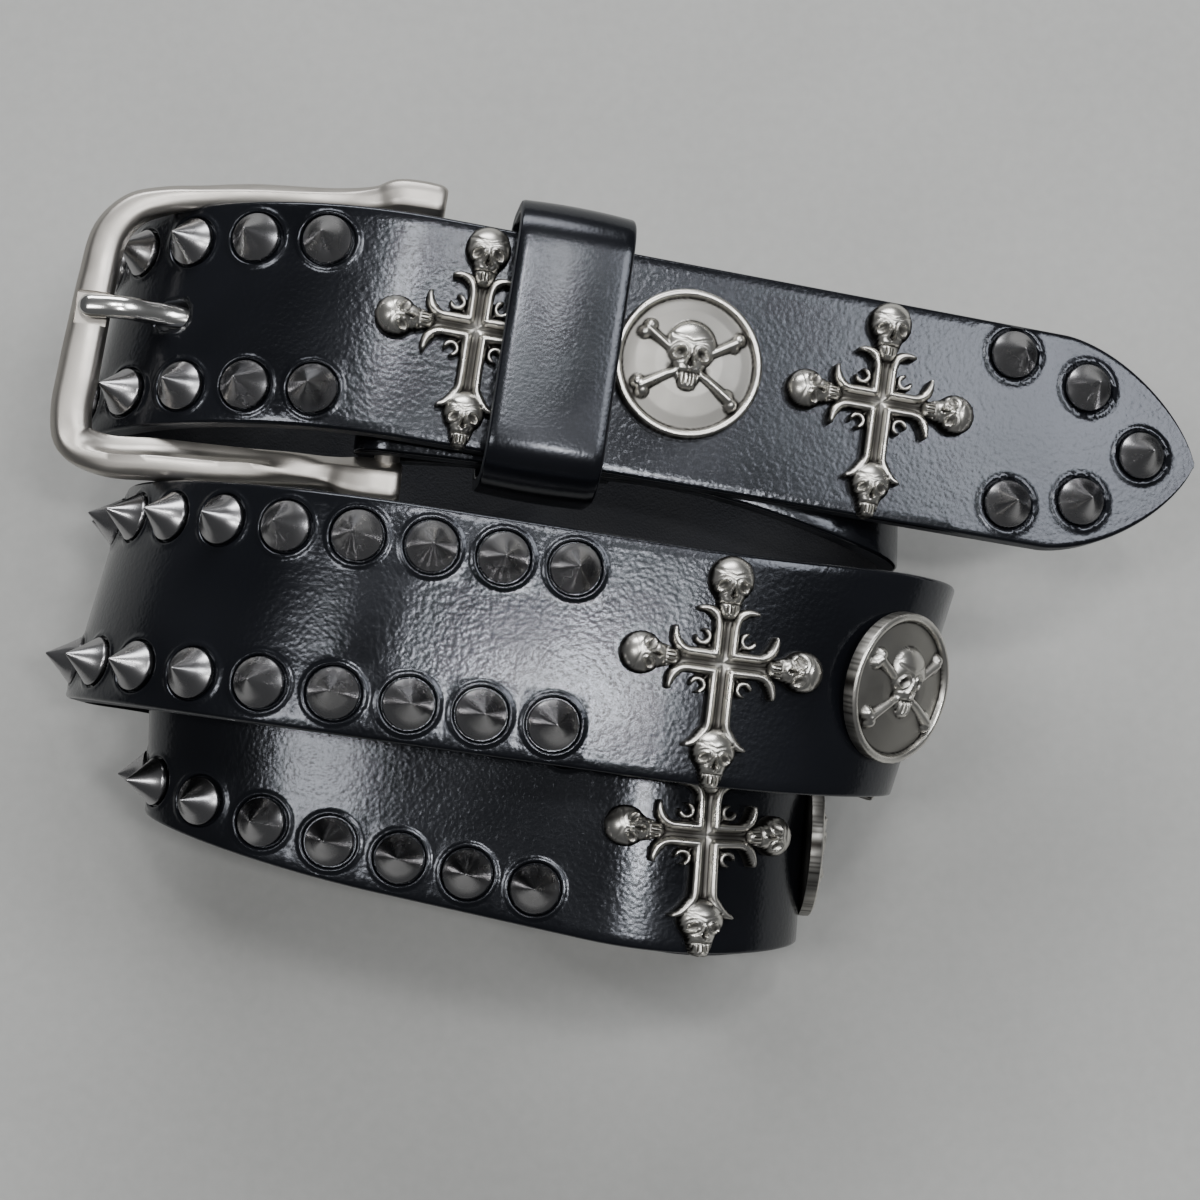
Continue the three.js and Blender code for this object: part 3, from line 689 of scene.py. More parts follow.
class Finish(Enum):
    """The belt's finishes."""

    GRAIN = Leather("black_grain_leather")
    KEEPER = Leather("black_keeper_leather", roughness=0.2, depth=0.022, pebble=0.55)
    CUT_EDGE = Leather("painted_cut_edge", colour=(0.012, 0.013, 0.016), worn_colour=(0.05, 0.052, 0.058),
                       roughness=0.5, pebble=0.35, depth=0.08, coat=0.0)
    FLESH = Leather("black_flesh_side", colour=(0.008, 0.008, 0.009), worn_colour=(0.02, 0.02, 0.021),
                    roughness=0.75, pebble=0.4, depth=0.12, coat=0.0)
    GUNMETAL = Metal("gunmetal_stud", (0.36, 0.355, 0.36), (0.2, 0.197, 0.2), 0.25, depth=0.0015,
                     turned=True)
    SILVER = Metal("antique_silver", (0.72, 0.7, 0.65), (0.022, 0.02, 0.018), 0.28, recess=True)
    NICKEL = Metal("satin_nickel", (0.47, 0.445, 0.41), (0.33, 0.31, 0.285), 0.38, grain=2500.0, depth=0.008)
    BRIGHT = Metal("bright_prong", (0.78, 0.77, 0.74), (0.6, 0.59, 0.56), 0.16, depth=0.002)


def finish_material(finish: Finish) -> bpy.types.Material:
    """Returns a finish's material, built the first time that it is asked for."""
    known = bpy.data.materials.get(finish.value.name)
    return known or finish.value.material()


# The strap


@dataclass(frozen=True)
class StudSeat:
    """Where one stud sits on the strap."""

    node: str
    distance: float
    across: float


@dataclass
class StudPlan:
    """The rows of studs along the strap and the studs round its nose."""

    pitch: float = 11.6
    offset: float = 12.6
    margin: float = 25.5
    first: float = 153.5
    last_count: int = 15
    nose: tuple[tuple[float, float], ...] = ((35, 0.36), (21, 0.27), (10, 0.0), (20, -0.26), (33, -0.33))

    def nose_seats(self, width: float) -> list[StudSeat]:
        """The studs round the nose."""
        return [StudSeat(f"stud_tip_{index + 1}", distance, share * width)
                for index, (distance, share) in enumerate(self.nose)]

    def runs(self) -> list[tuple[str, list[float]]]:
        """The name of each run, with the distances of its pairs."""
        result = []
        for index, name in enumerate(("first", "middle", "low")):
            group = GROUPS[index]
            start = self.first if index == 0 else group.medallion + group.to_buckle + self.margin
            room = (self.last_count - 1) * self.pitch
            if index + 1 < len(GROUPS):
                following = GROUPS[index + 1]
                room = following.medallion - following.to_tip - self.margin - start
            count = int(room / self.pitch + 1e-6) + 1
            result.append((name, [start + pair * self.pitch for pair in range(count)]))
        return result

    def run_seats(self) -> list[StudSeat]:
        """Both studs of every pair."""
        seats = []
        for name, distances in self.runs():
            for pair, distance in enumerate(distances):
                seats.append(StudSeat(f"stud_{name}_upper_{pair + 1}", distance, self.offset))
                seats.append(StudSeat(f"stud_{name}_lower_{pair + 1}", distance, -self.offset))
        return seats


@dataclass
class Strap:
    """The leather strap, with a pressed seat round each stud, its holes and its slot."""

    path: StrapPath
    plan: StudPlan
    tile: int = 8
    edge: tuple[tuple[float, float], ...] = ((0.0, 0.62), (0.1, 0.3), (0.3, 0.09), (0.6, 0.0))
    seat: tuple[tuple[float, float], ...] = ((5.74, 0.0), (5.5, 0.02), (5.2, 0.1), (4.88, 0.2), (4.64, 0.17),
                                             (4.46, -0.02), (4.34, -0.3), (4.26, -0.55))
    hole_distance: float = 179.6
    hole_pitch: float = 24.1
    hole_width: float = 5.2
    first_hole_length: float = 7.4
    hole_count: int = 5
    slot_width: float = 6.5
    step: float = 1.5
    nose_zone: float = 42.0

    def __post_init__(self) -> None:
        """Starts the lists of strap coordinates and faces."""
        self.coordinates: list[tuple[float, float, float]] = []
        self.faces: list[tuple[int, ...]] = []
        self.slots: list[int] = []

    def add_points(self, rows: Sequence[tuple[float, float, float]]) -> list[int]:
        """Adds points by their strap coordinates and returns their numbers."""
        start = len(self.coordinates)
        self.coordinates.extend(rows)
        return list(range(start, start + len(rows)))

    def add_face(self, corners: Sequence[int], slot: int = 0) -> None:
        """Adds one face on one of the strap's three materials."""
        self.faces.append(tuple(corners))
        self.slots.append(slot)

    def lines(self, parts: int) -> Array:
        """Lines across the strap between its edges, with each interval cut in parts."""
        half = self.plan.pitch / 2
        inner, outer = self.plan.offset - half, self.plan.offset + half
        side = np.linspace(inner, outer, self.tile * parts + 1)
        middle = np.linspace(-inner, inner, self.tile * parts + 1)
        return np.concatenate([-side[::-1], middle[1:-1], side])

    def seat_height(self, distance: float, across: Array) -> Array:
        """Height of the leather round the studs of the nose."""
        radii = [radius for radius, _ in self.seat][::-1]
        heights = [height for _, height in self.seat][::-1]
        total = np.zeros_like(across)
        for stud in self.plan.nose_seats(self.path.sizes.width):
            away = np.hypot(distance - stud.distance, across - stud.across)
            total += np.interp(away, radii, heights, right=0.0)
        return total

    def column(self, distance: float, lines: Array, pressed: bool) -> Column:
        """Adds the points of one station: its outer face from edge to edge, and its inner face."""
        thick = self.path.sizes.thickness / 2
        half = float(self.path.half_width(distance))
        scale = min(1.0, half / 1.2)
        outer = half - self.edge[-1][0] * scale
        inside = lines / lines[-1] * outer
        height = self.seat_height(distance, inside) if pressed else np.zeros_like(inside)
        rim = [(half - inset * scale, -drop * scale) for inset, drop in self.edge[:-1]]
        across = [(-place, rise) for place, rise in rim] + list(zip(inside, height))
        across += [(place, rise) for place, rise in reversed(rim)]
        top = self.add_points([(distance, place, thick + rise) for place, rise in across])
        low = self.add_points([(distance, share * half, -thick) for share in (-1, -0.5, 0, 0.5, 1)])
        return top, low

    def join_columns(self, near: Column, far: Column, skip: Sequence[range] = ()) -> None:
        """Adds the faces between two stations, leaving out the cells that a stud's seat fills."""
        top_near, top_far = near[0], far[0]
        for cell in range(len(top_near) - 1):
            if any(cell in cells for cells in skip):
                continue
            self.add_face((top_near[cell], top_near[cell + 1], top_far[cell + 1], top_far[cell]))
        self.join_backs(near, far)

    def join_backs(self, near: Column, far: Column) -> None:
        """Adds the inner face and both cut edges between two stations."""
        (top_near, low_near), (top_far, low_far) = near, far
        for cell in range(len(low_near) - 1):
            self.add_face((low_far[cell], low_far[cell + 1], low_near[cell + 1], low_near[cell]), 2)
        self.add_face((top_near[-1], low_near[-1], low_far[-1], top_far[-1]), 1)
        self.add_face((top_far[0], low_far[0], low_near[0], top_near[0]), 1)

    def join_fine(self, fine: Column, coarse: Column, parts: int) -> None:
        """Joins the nose's fine station, which is nearer the tip, to a coarse one."""
        top_fine, top_coarse = fine[0], coarse[0]
        rim = len(self.edge) - 1
        for cell in range(len(top_coarse) - 1):
            a, b = top_coarse[cell], top_coarse[cell + 1]
            inner = rim <= cell < len(top_coarse) - 1 - rim
            start = cell if cell < rim else rim + (cell - rim) * parts
            if cell >= len(top_coarse) - 1 - rim:
                start = len(top_fine) - (len(top_coarse) - cell)
            stop = start + (parts if inner else 1)
            self.add_face([*top_fine[start:stop + 1], b, a])
        self.join_backs(fine, coarse)

    def add_seat(self, columns: Sequence[Column], first_line: int, distance: float,
                 across: float) -> None:
        """Fills a square cell with the pressed rings round one stud."""
        last = self.tile
        top = [column[0] for column in columns]
        loop = [top[last - step][first_line] for step in range(last)]
        loop += [top[0][first_line + step] for step in range(last)]
        loop += [top[step][first_line + last] for step in range(last)]
        loop += [top[last][first_line + last - step] for step in range(last)]
        places = [self.coordinates[index] for index in loop]
        angles = [math.atan2(place[1] - across, distance - place[0]) for place in places]
        thick = self.path.sizes.thickness / 2
        outer = loop
        for radius, rise in self.seat:
            ring = [(distance - radius * math.cos(angle), across + radius * math.sin(angle), thick + rise)
                    for angle in angles]
            inner = self.add_points(ring)
            for corner in range(len(loop)):
                after = (corner + 1) % len(loop)
                self.add_face((outer[corner], outer[after], inner[after], inner[corner]))
            outer = inner
        self.add_face(outer)

    def stations(self, start: float, stop: float) -> list[float]:
        """Even stations from start to just before stop."""
        count = max(1, round((stop - start) / self.step))
        return [start + (stop - start) * index / count for index in range(count)]

    def draft(self) -> Draft:
        """Draws the whole sheet, from the tip to the end of the fold."""
        parts = 3
        coarse, fine = self.lines(1), self.lines(parts)
        nose = [0.03, 0.08, 0.18, 0.36, 0.6, 0.9, 1.3, 1.75]
        nose += list(np.linspace(2.2, self.nose_zone, round((self.nose_zone - 2.2) / 0.5)))
        columns = [self.column(distance, fine, True) for distance in nose]
        for near, far in zip(columns, columns[1:]):
            self.join_columns(near, far)
        tip = columns[0]
        self.add_face([*tip[0][::-1], *tip[1]])
        previous, at = columns[-1], self.nose_zone
        join = lambda far: self.join_fine(previous, far, parts)
        half = self.plan.pitch / 2
        rim = len(self.edge) - 1
        lower, upper = range(rim, rim + self.tile), range(rim + 2 * self.tile, rim + 3 * self.tile)
        for _, distances in self.plan.runs():
            for distance in self.stations(at, distances[0] - half)[1:] + [distances[0] - half]:
                column = self.column(distance, coarse, False)
                join(column) if join else self.join_columns(previous, column)
                join, previous = None, column
            for distance in distances:
                places = np.linspace(distance - half, distance + half, self.tile + 1)[1:]
                columns = [previous] + [self.column(float(place), coarse, False) for place in places]
                for near, far in zip(columns, columns[1:]):
                    self.join_columns(near, far, (lower, upper))
                self.add_seat(columns, rim, distance, -self.plan.offset)
                self.add_seat(columns, rim + 2 * self.tile, distance, self.plan.offset)
                previous = columns[-1]
            at = distances[-1] + half
        for distance in self.stations(at, self.path.length)[1:] + [self.path.length]:
            column = self.column(distance, coarse, False)
            self.join_columns(previous, column)
            previous = column
        self.add_face([*previous[0], *previous[1][::-1]], 1)
        coordinates = np.array(self.coordinates)
        points = self.path.from_tip(coordinates[:, 0]).place(0, coordinates[:, 1], coordinates[:, 2])
        return Draft(points, self.faces, self.slots, hide=coordinates)

    def hole_cutter(self) -> bpy.types.Object:
        """The oblong used hole, the round ones behind it and the prong's slot, as one cutting shape."""
        points: list[Array] = []
        faces: list[tuple[int, ...]] = []
        depth = 2 * self.path.sizes.thickness
        sides = 24
        for index in range(self.hole_count):
            frames = self.path.from_tip(self.hole_distance + index * self.hole_pitch)
            length = self.first_hole_length if index == 0 else self.hole_width
            radius = self.hole_width / 2
            start = len(points)
            for height in (-depth, depth):
                for corner in range(sides):
                    angle = 2 * math.pi * (corner + 0.5) / sides
                    shift = math.copysign(length / 2 - radius, math.cos(angle))
                    forward, across = radius * math.cos(angle) + shift, radius * math.sin(angle)
                    points.append(frames.place(forward, across, height))
            faces += [tuple(start + corner for corner in face) for face in ring_faces(2, sides)]
            faces += [tuple(range(start + sides - 1, start - 1, -1)),
                      tuple(range(start + sides, start + 2 * sides))]
        self.slot_cutter(points, faces)
        cutter = Draft(np.array(points), faces).piece("strap_cutter", [finish_material(Finish.CUT_EDGE)])
        cutter.hide_render = True
        return cutter

    def slot_cutter(self, points: list[Array], faces: list[tuple[int, ...]]) -> None:
        """Adds the slot round the heel bar, which follows the fold."""
        path = self.path
        size = path.sizes
        start = path.ends[1] - 0.55 * size.fold_settle
        stop = path.ends[3] + size.fold_radius + size.clearance
        low = -(size.thickness + size.clearance) / 2
        half = self.slot_width / 2
        first = len(points)
        count = 24
        for index in range(count + 1):
            frames = path.from_tip(path.length - (start + (stop - start) * index / count))
            corners = ((half, low), (half, size.thickness), (-half, size.thickness), (-half, low))
            points += [frames.place(0, across, height) for across, height in corners]
        faces += [tuple(first + corner for corner in face) for face in ring_faces(count + 1, 4)]
        last = first + 4 * count
        faces += [(first + 3, first + 2, first + 1, first), (last, last + 1, last + 2, last + 3)]

    def build(self) -> bpy.types.Object:
        """Builds the strap and cuts its holes."""
        finishes = (Finish.GRAIN, Finish.CUT_EDGE, Finish.FLESH)
        piece = self.draft().piece("belt_strap", [finish_material(finish) for finish in finishes], sharp=48)
        cut_away(piece, self.hole_cutter(), "holes")
        return piece


# Studs


@dataclass
class Studs:
    """Every cone stud of the belt, set on its seat by Geometry Nodes."""

    path: StrapPath
    seats: Sequence[StudSeat]
    diameter: float = 8.2
    height: float = 5.55
    sides: int = 48
    profile: tuple[tuple[float, float], ...] = (
        (0.93, -0.09), (0.985, -0.05), (1.0, 0.03), (0.995, 0.085), (0.97, 0.112), (0.94, 0.125),
        (0.62, 0.41), (0.3, 0.71), (0.1, 0.905), (0.055, 0.95), (0.03, 0.97), (0.012, 0.978))

    def shape(self) -> bpy.types.Object:
        """One stud of radius 1 and height 1, to be set many times."""
        points, faces = [], []
        for radius, height in self.profile:
            for corner in range(self.sides):
                angle = 2 * math.pi * corner / self.sides
                points.append((radius * math.cos(angle), radius * math.sin(angle), height))
        faces += ring_faces(len(self.profile), self.sides)
        faces.append(tuple(range(self.sides - 1, -1, -1)))
        top = len(points) - self.sides
        faces.append(tuple(range(top, top + self.sides)))
        mesh = bpy.data.meshes.new("stud_shape")
        mesh.from_pydata(points, [], faces)
        radii = np.hypot(*np.array(points)[:, :2].T).astype(np.float32) * self.diameter / 2
        mesh.attributes.new(TURNED, "FLOAT", "POINT").data.foreach_set("value", radii)
        mesh.polygons.foreach_set("use_smooth", [True] * len(mesh.polygons))
        mesh.set_sharp_from_angle(angle=math.radians(38))
        return bpy.data.objects.new("stud_shape", mesh)

    def carrier(self) -> bpy.types.Object:
        """Points where the studs sit, with the turning of each."""
        frames = [self.path.face(seat.distance, seat.across) for seat in self.seats]
        points = np.array([place.point for place in frames])
        turns = [Matrix((place.along, place.across, place.out)).transposed().to_euler() for place in frames]
        mesh = bpy.data.meshes.new("belt_studs")
        mesh.from_pydata(to_frame(points).tolist(), [], [])
        turning = mesh.attributes.new("turning", "FLOAT_VECTOR", "POINT")
        turning.data.foreach_set("vector", np.array([list(turn) for turn in turns], np.float32).ravel())
        piece = bpy.data.objects.new("belt_studs", mesh)
        bpy.context.scene.collection.objects.link(piece)
        return piece

    def tree(self) -> bpy.types.NodeTree:
        """The tree that sets a shape on every point, with a slight tilt of its own."""
        tree = bpy.data.node_groups.new("stud_setting", "GeometryNodeTree")
        kinds = {"Seats": "NodeSocketGeometry", "Shape": "NodeSocketObject", "Radius": "NodeSocketFloat",
                 "Height": "NodeSocketFloat", "Tilt": "NodeSocketFloat", "Seed": "NodeSocketInt",
                 "Finish": "NodeSocketMaterial"}
        for name, kind in kinds.items():
            tree.interface.new_socket(name, in_out="INPUT", socket_type=kind)
        tree.interface.new_socket("Studs", in_out="OUTPUT", socket_type="NodeSocketGeometry")
        draft = TreeDraft(tree)
        given = draft.add("NodeGroupInput").outputs
        size = draft.add("ShaderNodeCombineXYZ", {0: given["Radius"], 1: given["Radius"],
                                                  2: given["Height"]})
        shape = draft.add("GeometryNodeObjectInfo", {"Object": given["Shape"]})
        sized = draft.add("GeometryNodeTransform", {"Geometry": shape.outputs["Geometry"],
                                                    "Scale": size.outputs[0]})
        turning = draft.add("GeometryNodeInputNamedAttribute", {"Name": "turning"}, data_type="FLOAT_VECTOR")
        low = draft.add("ShaderNodeMath", {0: given["Tilt"], 1: -1.0}, operation="MULTIPLY")
        span = {0: low.outputs[0], 1: given["Tilt"], "Seed": given["Seed"]}
        jitter = draft.add("FunctionNodeRandomValue", span, data_type="FLOAT_VECTOR")
        turns = {0: turning.outputs["Attribute"], 1: jitter.outputs[0]}
        turned = draft.add("FunctionNodeRotateRotation", turns, rotation_space="LOCAL")
        studs = draft.add("GeometryNodeInstanceOnPoints", {
            "Points": given["Seats"], "Instance": sized.outputs["Geometry"], "Rotation": turned.outputs[0]})
        real = draft.add("GeometryNodeRealizeInstances", {"Geometry": studs.outputs["Instances"]})
        dressed = draft.add("GeometryNodeSetMaterial", {"Geometry": real.outputs[0],
                                                        "Material": given["Finish"]})
        draft.add("NodeGroupOutput", {0: dressed.outputs[0]})
        return tree

    def build(self) -> bpy.types.Object:
        """Sets the studs and turns them into one mesh."""
        piece = self.carrier()
        shape = self.shape()
        setting = piece.modifiers.new("stud_setting", "NODES")
        tree = self.tree()
        setting.node_group = tree
        values = {"Shape": shape, "Radius": self.diameter / 2000, "Height": self.height / 1000,
                  "Tilt": math.radians(1.2), "Seed": 11, "Finish": finish_material(Finish.GUNMETAL)}
        for item in tree.interface.items_tree:
            if item.in_out == "INPUT" and item.name in values:
                setting[item.identifier] = values[item.name]
        bake_modifiers(piece)
        bpy.data.objects.remove(shape)
        return piece


# Cast ornaments


class Relief:
    """A cast ornament, drawn as heights over a flat grid and then given its outline and walls."""

    def __init__(self, low: tuple[float, float], high: tuple[float, float], step: float) -> None:
        """Starts an empty relief.

        Args:
            low: Lowest x and y of the grid.
            high: Highest x and y of the grid.
            step: Width of a cell.
        """
        self.step = step
        columns = np.arange(low[0], high[0] + step, step)
        rows = np.arange(low[1], high[1] + step, step)
        self.x, self.y = np.meshgrid(columns, rows)
        self.height = np.full(self.x.shape, -1.0)
        self.inside = np.full(self.x.shape, -9.0)

    def distance_to(self, points: Polyline, radii: Sequence[float]) -> tuple[Array, Array]:
        """Distance from a polyline, and the radius of the part that is nearest for its size.

        Args:
            points: The polyline's points.
            radii: The stroke's radius at each point.

        Returns:
            tuple: The distance and the radius at every place of the grid.
        """
        best = np.full(self.x.shape, 99.0)
        radius = np.full(self.x.shape, 1.0)
        for (ax, ay), (bx, by), ra, rb in zip(points, points[1:], radii, radii[1:]):
            dx, dy = bx - ax, by - ay
            share = ((self.x - ax) * dx + (self.y - ay) * dy) / (dx * dx + dy * dy)
            share = np.clip(share, 0, 1)
            away = np.hypot(self.x - ax - share * dx, self.y - ay - share * dy)
            here = ra + share * (rb - ra)
            closer = away / here < best / radius
            best = np.where(closer, away, best)
            radius = np.where(closer, here, radius)
        return best, radius

    def raise_to(self, height: Array, inside: Array) -> None:
        """Lays metal of that height where inside is above 0, keeping what is higher."""
        self.height = np.where(inside > -self.step, np.maximum(self.height, height), self.height)
        self.inside = np.maximum(self.inside, inside)

    def stroke(self, points: Polyline, radii: Sequence[float], base: float,
               crest: float, power: float = 0.5) -> None:
        """Lays a round-topped bar along a polyline."""
        away, radius = self.distance_to(points, radii)
        share = np.clip(1 - (away / radius) ** 2, 0, 1)
        self.raise_to(base + (crest - base) * share ** power, radius - away)

    def carve(self, change: Array) -> None:
        """Adds a height, or takes it away, wherever there is metal."""
        self.height = self.height + np.where(self.inside > 0, change, 0)

    def wire(self, points: Polyline, width: float, rise: float) -> None:
        """Raises a fine soft line along a polyline, or sinks one."""
        away, _ = self.distance_to(points, [1.0] * len(points))
        self.carve(rise * np.exp(-(away / width) ** 2))

    def local(self, centre: tuple[float, float], turn: float) -> tuple[Array, Array]:
        """The grid seen from a place: across and upwards after a turn in degrees."""
        angle = math.radians(turn)
        dx, dy = self.x - centre[0], self.y - centre[1]
        return dx * math.cos(angle) + dy * math.sin(angle), dy * math.cos(angle) - dx * math.sin(angle)

    def hollow_mask(self) -> Array:
        """How deep each place lies under the metal round it, from 0 to 1."""
        solid = np.where(self.inside > 0, self.height, 0.0)
        weight = (self.inside > 0).astype(float)
        mask = np.zeros_like(solid)
        for reach, gain in ((2, 4.0), (7, 1.3)):
            blurred, count = box_blur(solid, reach), box_blur(weight, reach)
            mask += np.clip(gain * (blurred / np.maximum(count, 0.05) - solid), 0, 1)
        return np.clip(mask, 0, 1)

    def read(self, values: Array, x: Array, y: Array) -> Array:
        """Values at any places of the grid, blended between its corners."""
        column = np.clip((x - self.x[0, 0]) / self.step, 0, values.shape[1] - 1.001)
        row = np.clip((y - self.y[0, 0]) / self.step, 0, values.shape[0] - 1.001)
        i, j = row.astype(int), column.astype(int)
        fy, fx = row - i, column - j
        low = values[i, j] * (1 - fx) + values[i, j + 1] * fx
        high = values[i + 1, j] * (1 - fx) + values[i + 1, j + 1] * fx
        return low * (1 - fy) + high * fy

    def outline_draft(self, bottom: float) -> Draft:
        """Cuts the grid along the outline and closes it with walls and a back.

        Args:
            bottom: Height of the back.

        Returns:
            Draft: The mesh in the relief's own millimetres, with its recess mask.
        """
        step = self.step
        slope_y, slope_x = np.gradient(self.inside, step)
        slope = np.maximum(np.hypot(slope_x, slope_y), 0.3)
        kept = self.inside > -0.62 * step
        cells = kept[:-1, :-1] & kept[1:, :-1] & kept[:-1, 1:] & kept[1:, 1:]
        around = np.pad(cells, 1).astype(int)
        shared = around[:-1, :-1] + around[1:, :-1] + around[:-1, 1:] + around[1:, 1:]
        snapped = kept & ((shared < 4) | (self.inside < 0.25 * step))
        shift = np.where(snapped, np.clip(self.inside / slope ** 2, -step, step), 0.0)
        x, y = self.x - shift * slope_x, self.y - shift * slope_y
        numbers = np.arange(kept.size).reshape(kept.shape)
        quads = np.stack([numbers[:-1, :-1][cells], numbers[:-1, 1:][cells], numbers[1:, 1:][cells],
                          numbers[1:, :-1][cells]], axis=1)
        used, flat = np.unique(quads, return_inverse=True)
        quads = flat.reshape(quads.shape)
        points = np.stack([x.ravel()[used], y.ravel()[used], self.height.ravel()[used]], axis=1)
        hollow = self.hollow_mask().ravel()[used]
        edges = {(a, b) for quad in quads.tolist() for a, b in zip(quad, quad[1:] + quad[:1])}
        rim = [(a, b) for a, b in edges if (b, a) not in edges]
        corners = sorted({corner for edge in rim for corner in edge})
        low = {corner: len(points) + index for index, corner in enumerate(corners)}
        floor = points[corners].copy()
        floor[:, 2] = bottom
        faces = quads.tolist() + [[b, a, low[a], low[b]] for a, b in sorted(rim)]
        points = np.concatenate([points, floor])
        hollow = np.concatenate([hollow, np.full(len(corners), 0.75)])
        return Draft(points, faces, None, {RECESS: hollow})


def box_blur(values: Array, reach: int) -> Array:
    """Averages each place with its neighbours up to reach cells away."""
    size = 2 * reach + 1
    padded = np.pad(values, reach, mode="edge")
    total = np.cumsum(np.pad(padded, ((1, 0), (0, 0))), axis=0)
    rows = (total[size:] - total[:-size]) / size
    total = np.cumsum(np.pad(rows, ((0, 0), (1, 0))), axis=1)
    return (total[:, size:] - total[:, :-size]) / size


@dataclass(frozen=True)
class SkullSizes:
    """One cast skull of the ornaments: upright, its crown along +y before it is turned."""

    width: float
    length: float
    rise: float
    base: float = 0.7

    def draw(self, relief: Relief, centre: tuple[float, float], turn: float) -> None:
        """Lays the skull on a relief.

        Args:
            relief: The relief to draw on.
            centre: Middle of the skull's length.
            turn: Turn in degrees from its crown pointing along +y.
        """
        a, b = relief.local(centre, turn)
        u, v = a / self.width, b / self.length
        ball = 1 - (u / 0.5) ** 2 - ((v - 0.14) / 0.37) ** 2
        inside_ball = ball * 0.25 * self.width
        half = np.interp(v, [-0.52, -0.47, -0.36, -0.2, 0.0, 0.15], [0.0, 0.15, 0.22, 0.29, 0.4, 0.42])
        face = 1 - (np.abs(u) / np.maximum(half, 0.01)) ** 2.2
        inside_face = np.minimum(half - np.abs(u), v + 0.5) * self.width
        inside_face = np.where(v > 0.15, -9.0, inside_face)
        ball_height = self.base + (self.rise - self.base) * np.sqrt(np.clip(ball, 0, 1))
        face_top = np.interp(v, [-0.5, -0.42, -0.3, -0.1, 0.1], [0.45, 0.72, 0.72, 0.8, 0.86])
        face_height = self.base + (self.rise - self.base) * face_top * np.clip(face, 0, 1) ** 0.4
        relief.raise_to(ball_height, inside_ball)
        relief.raise_to(np.where(inside_face > 0, face_height, -1.0), inside_face)
        self.draw_features(relief, u, v)

    def draw_features(self, relief: Relief, u: Array, v: Array) -> None:
        """Presses the sockets, the nose, the brow and the teeth into the skull."""
        scale = self.width
        near = (np.abs(u) < 0.55) & (np.abs(v) < 0.56)

        def mark(shape: Array) -> None:
            """Changes the height near this skull only."""
            relief.carve(np.where(near, shape, 0.0) * scale / 7.6)

        for side in (-1, 1):
            eye_u = (u - side * 0.225) / 0.135
            eye_v = (v - 0.02) * self.length / self.width / 0.125
            around = np.hypot(eye_u, eye_v + 0.25 * side * eye_u)
            mark(-0.42 * np.exp(-(around / 1.5) ** 6))
            mark(0.55 * np.exp(-((around - 0.98) / 0.2) ** 2))
            mark(-0.25 * np.exp(-(around / 0.5) ** 4))
            hollow = np.exp(-((u - side * 0.33) / 0.09) ** 2 - ((v + 0.2) / 0.07) ** 2)
            mark(-0.35 * hollow)
        wedge = np.interp(v, [-0.19, -0.14, 0.02], [0.0, 0.075, 0.0])
        inside = np.minimum(wedge - np.abs(u), 0.2)
        mark(-0.6 * np.clip(inside / 0.03, 0, 1))
        mark(0.38 * np.exp(-((inside + 0.012) / 0.028) ** 2) * (np.abs(v + 0.08) < 0.16))
        mark(-0.2 * np.exp(-((v - 0.17 - 0.25 * np.abs(u)) / 0.022) ** 2) * (np.abs(u) < 0.4))
        mark(-0.45 * np.exp(-((v + 0.255) / 0.022) ** 2) * (np.abs(u) < 0.22))
        teeth = (np.abs(np.sin(u * math.pi / 0.085)) < 0.42) & (np.abs(v + 0.35) < 0.07) & (np.abs(u) < 0.2)
        mark(-0.45 * teeth)


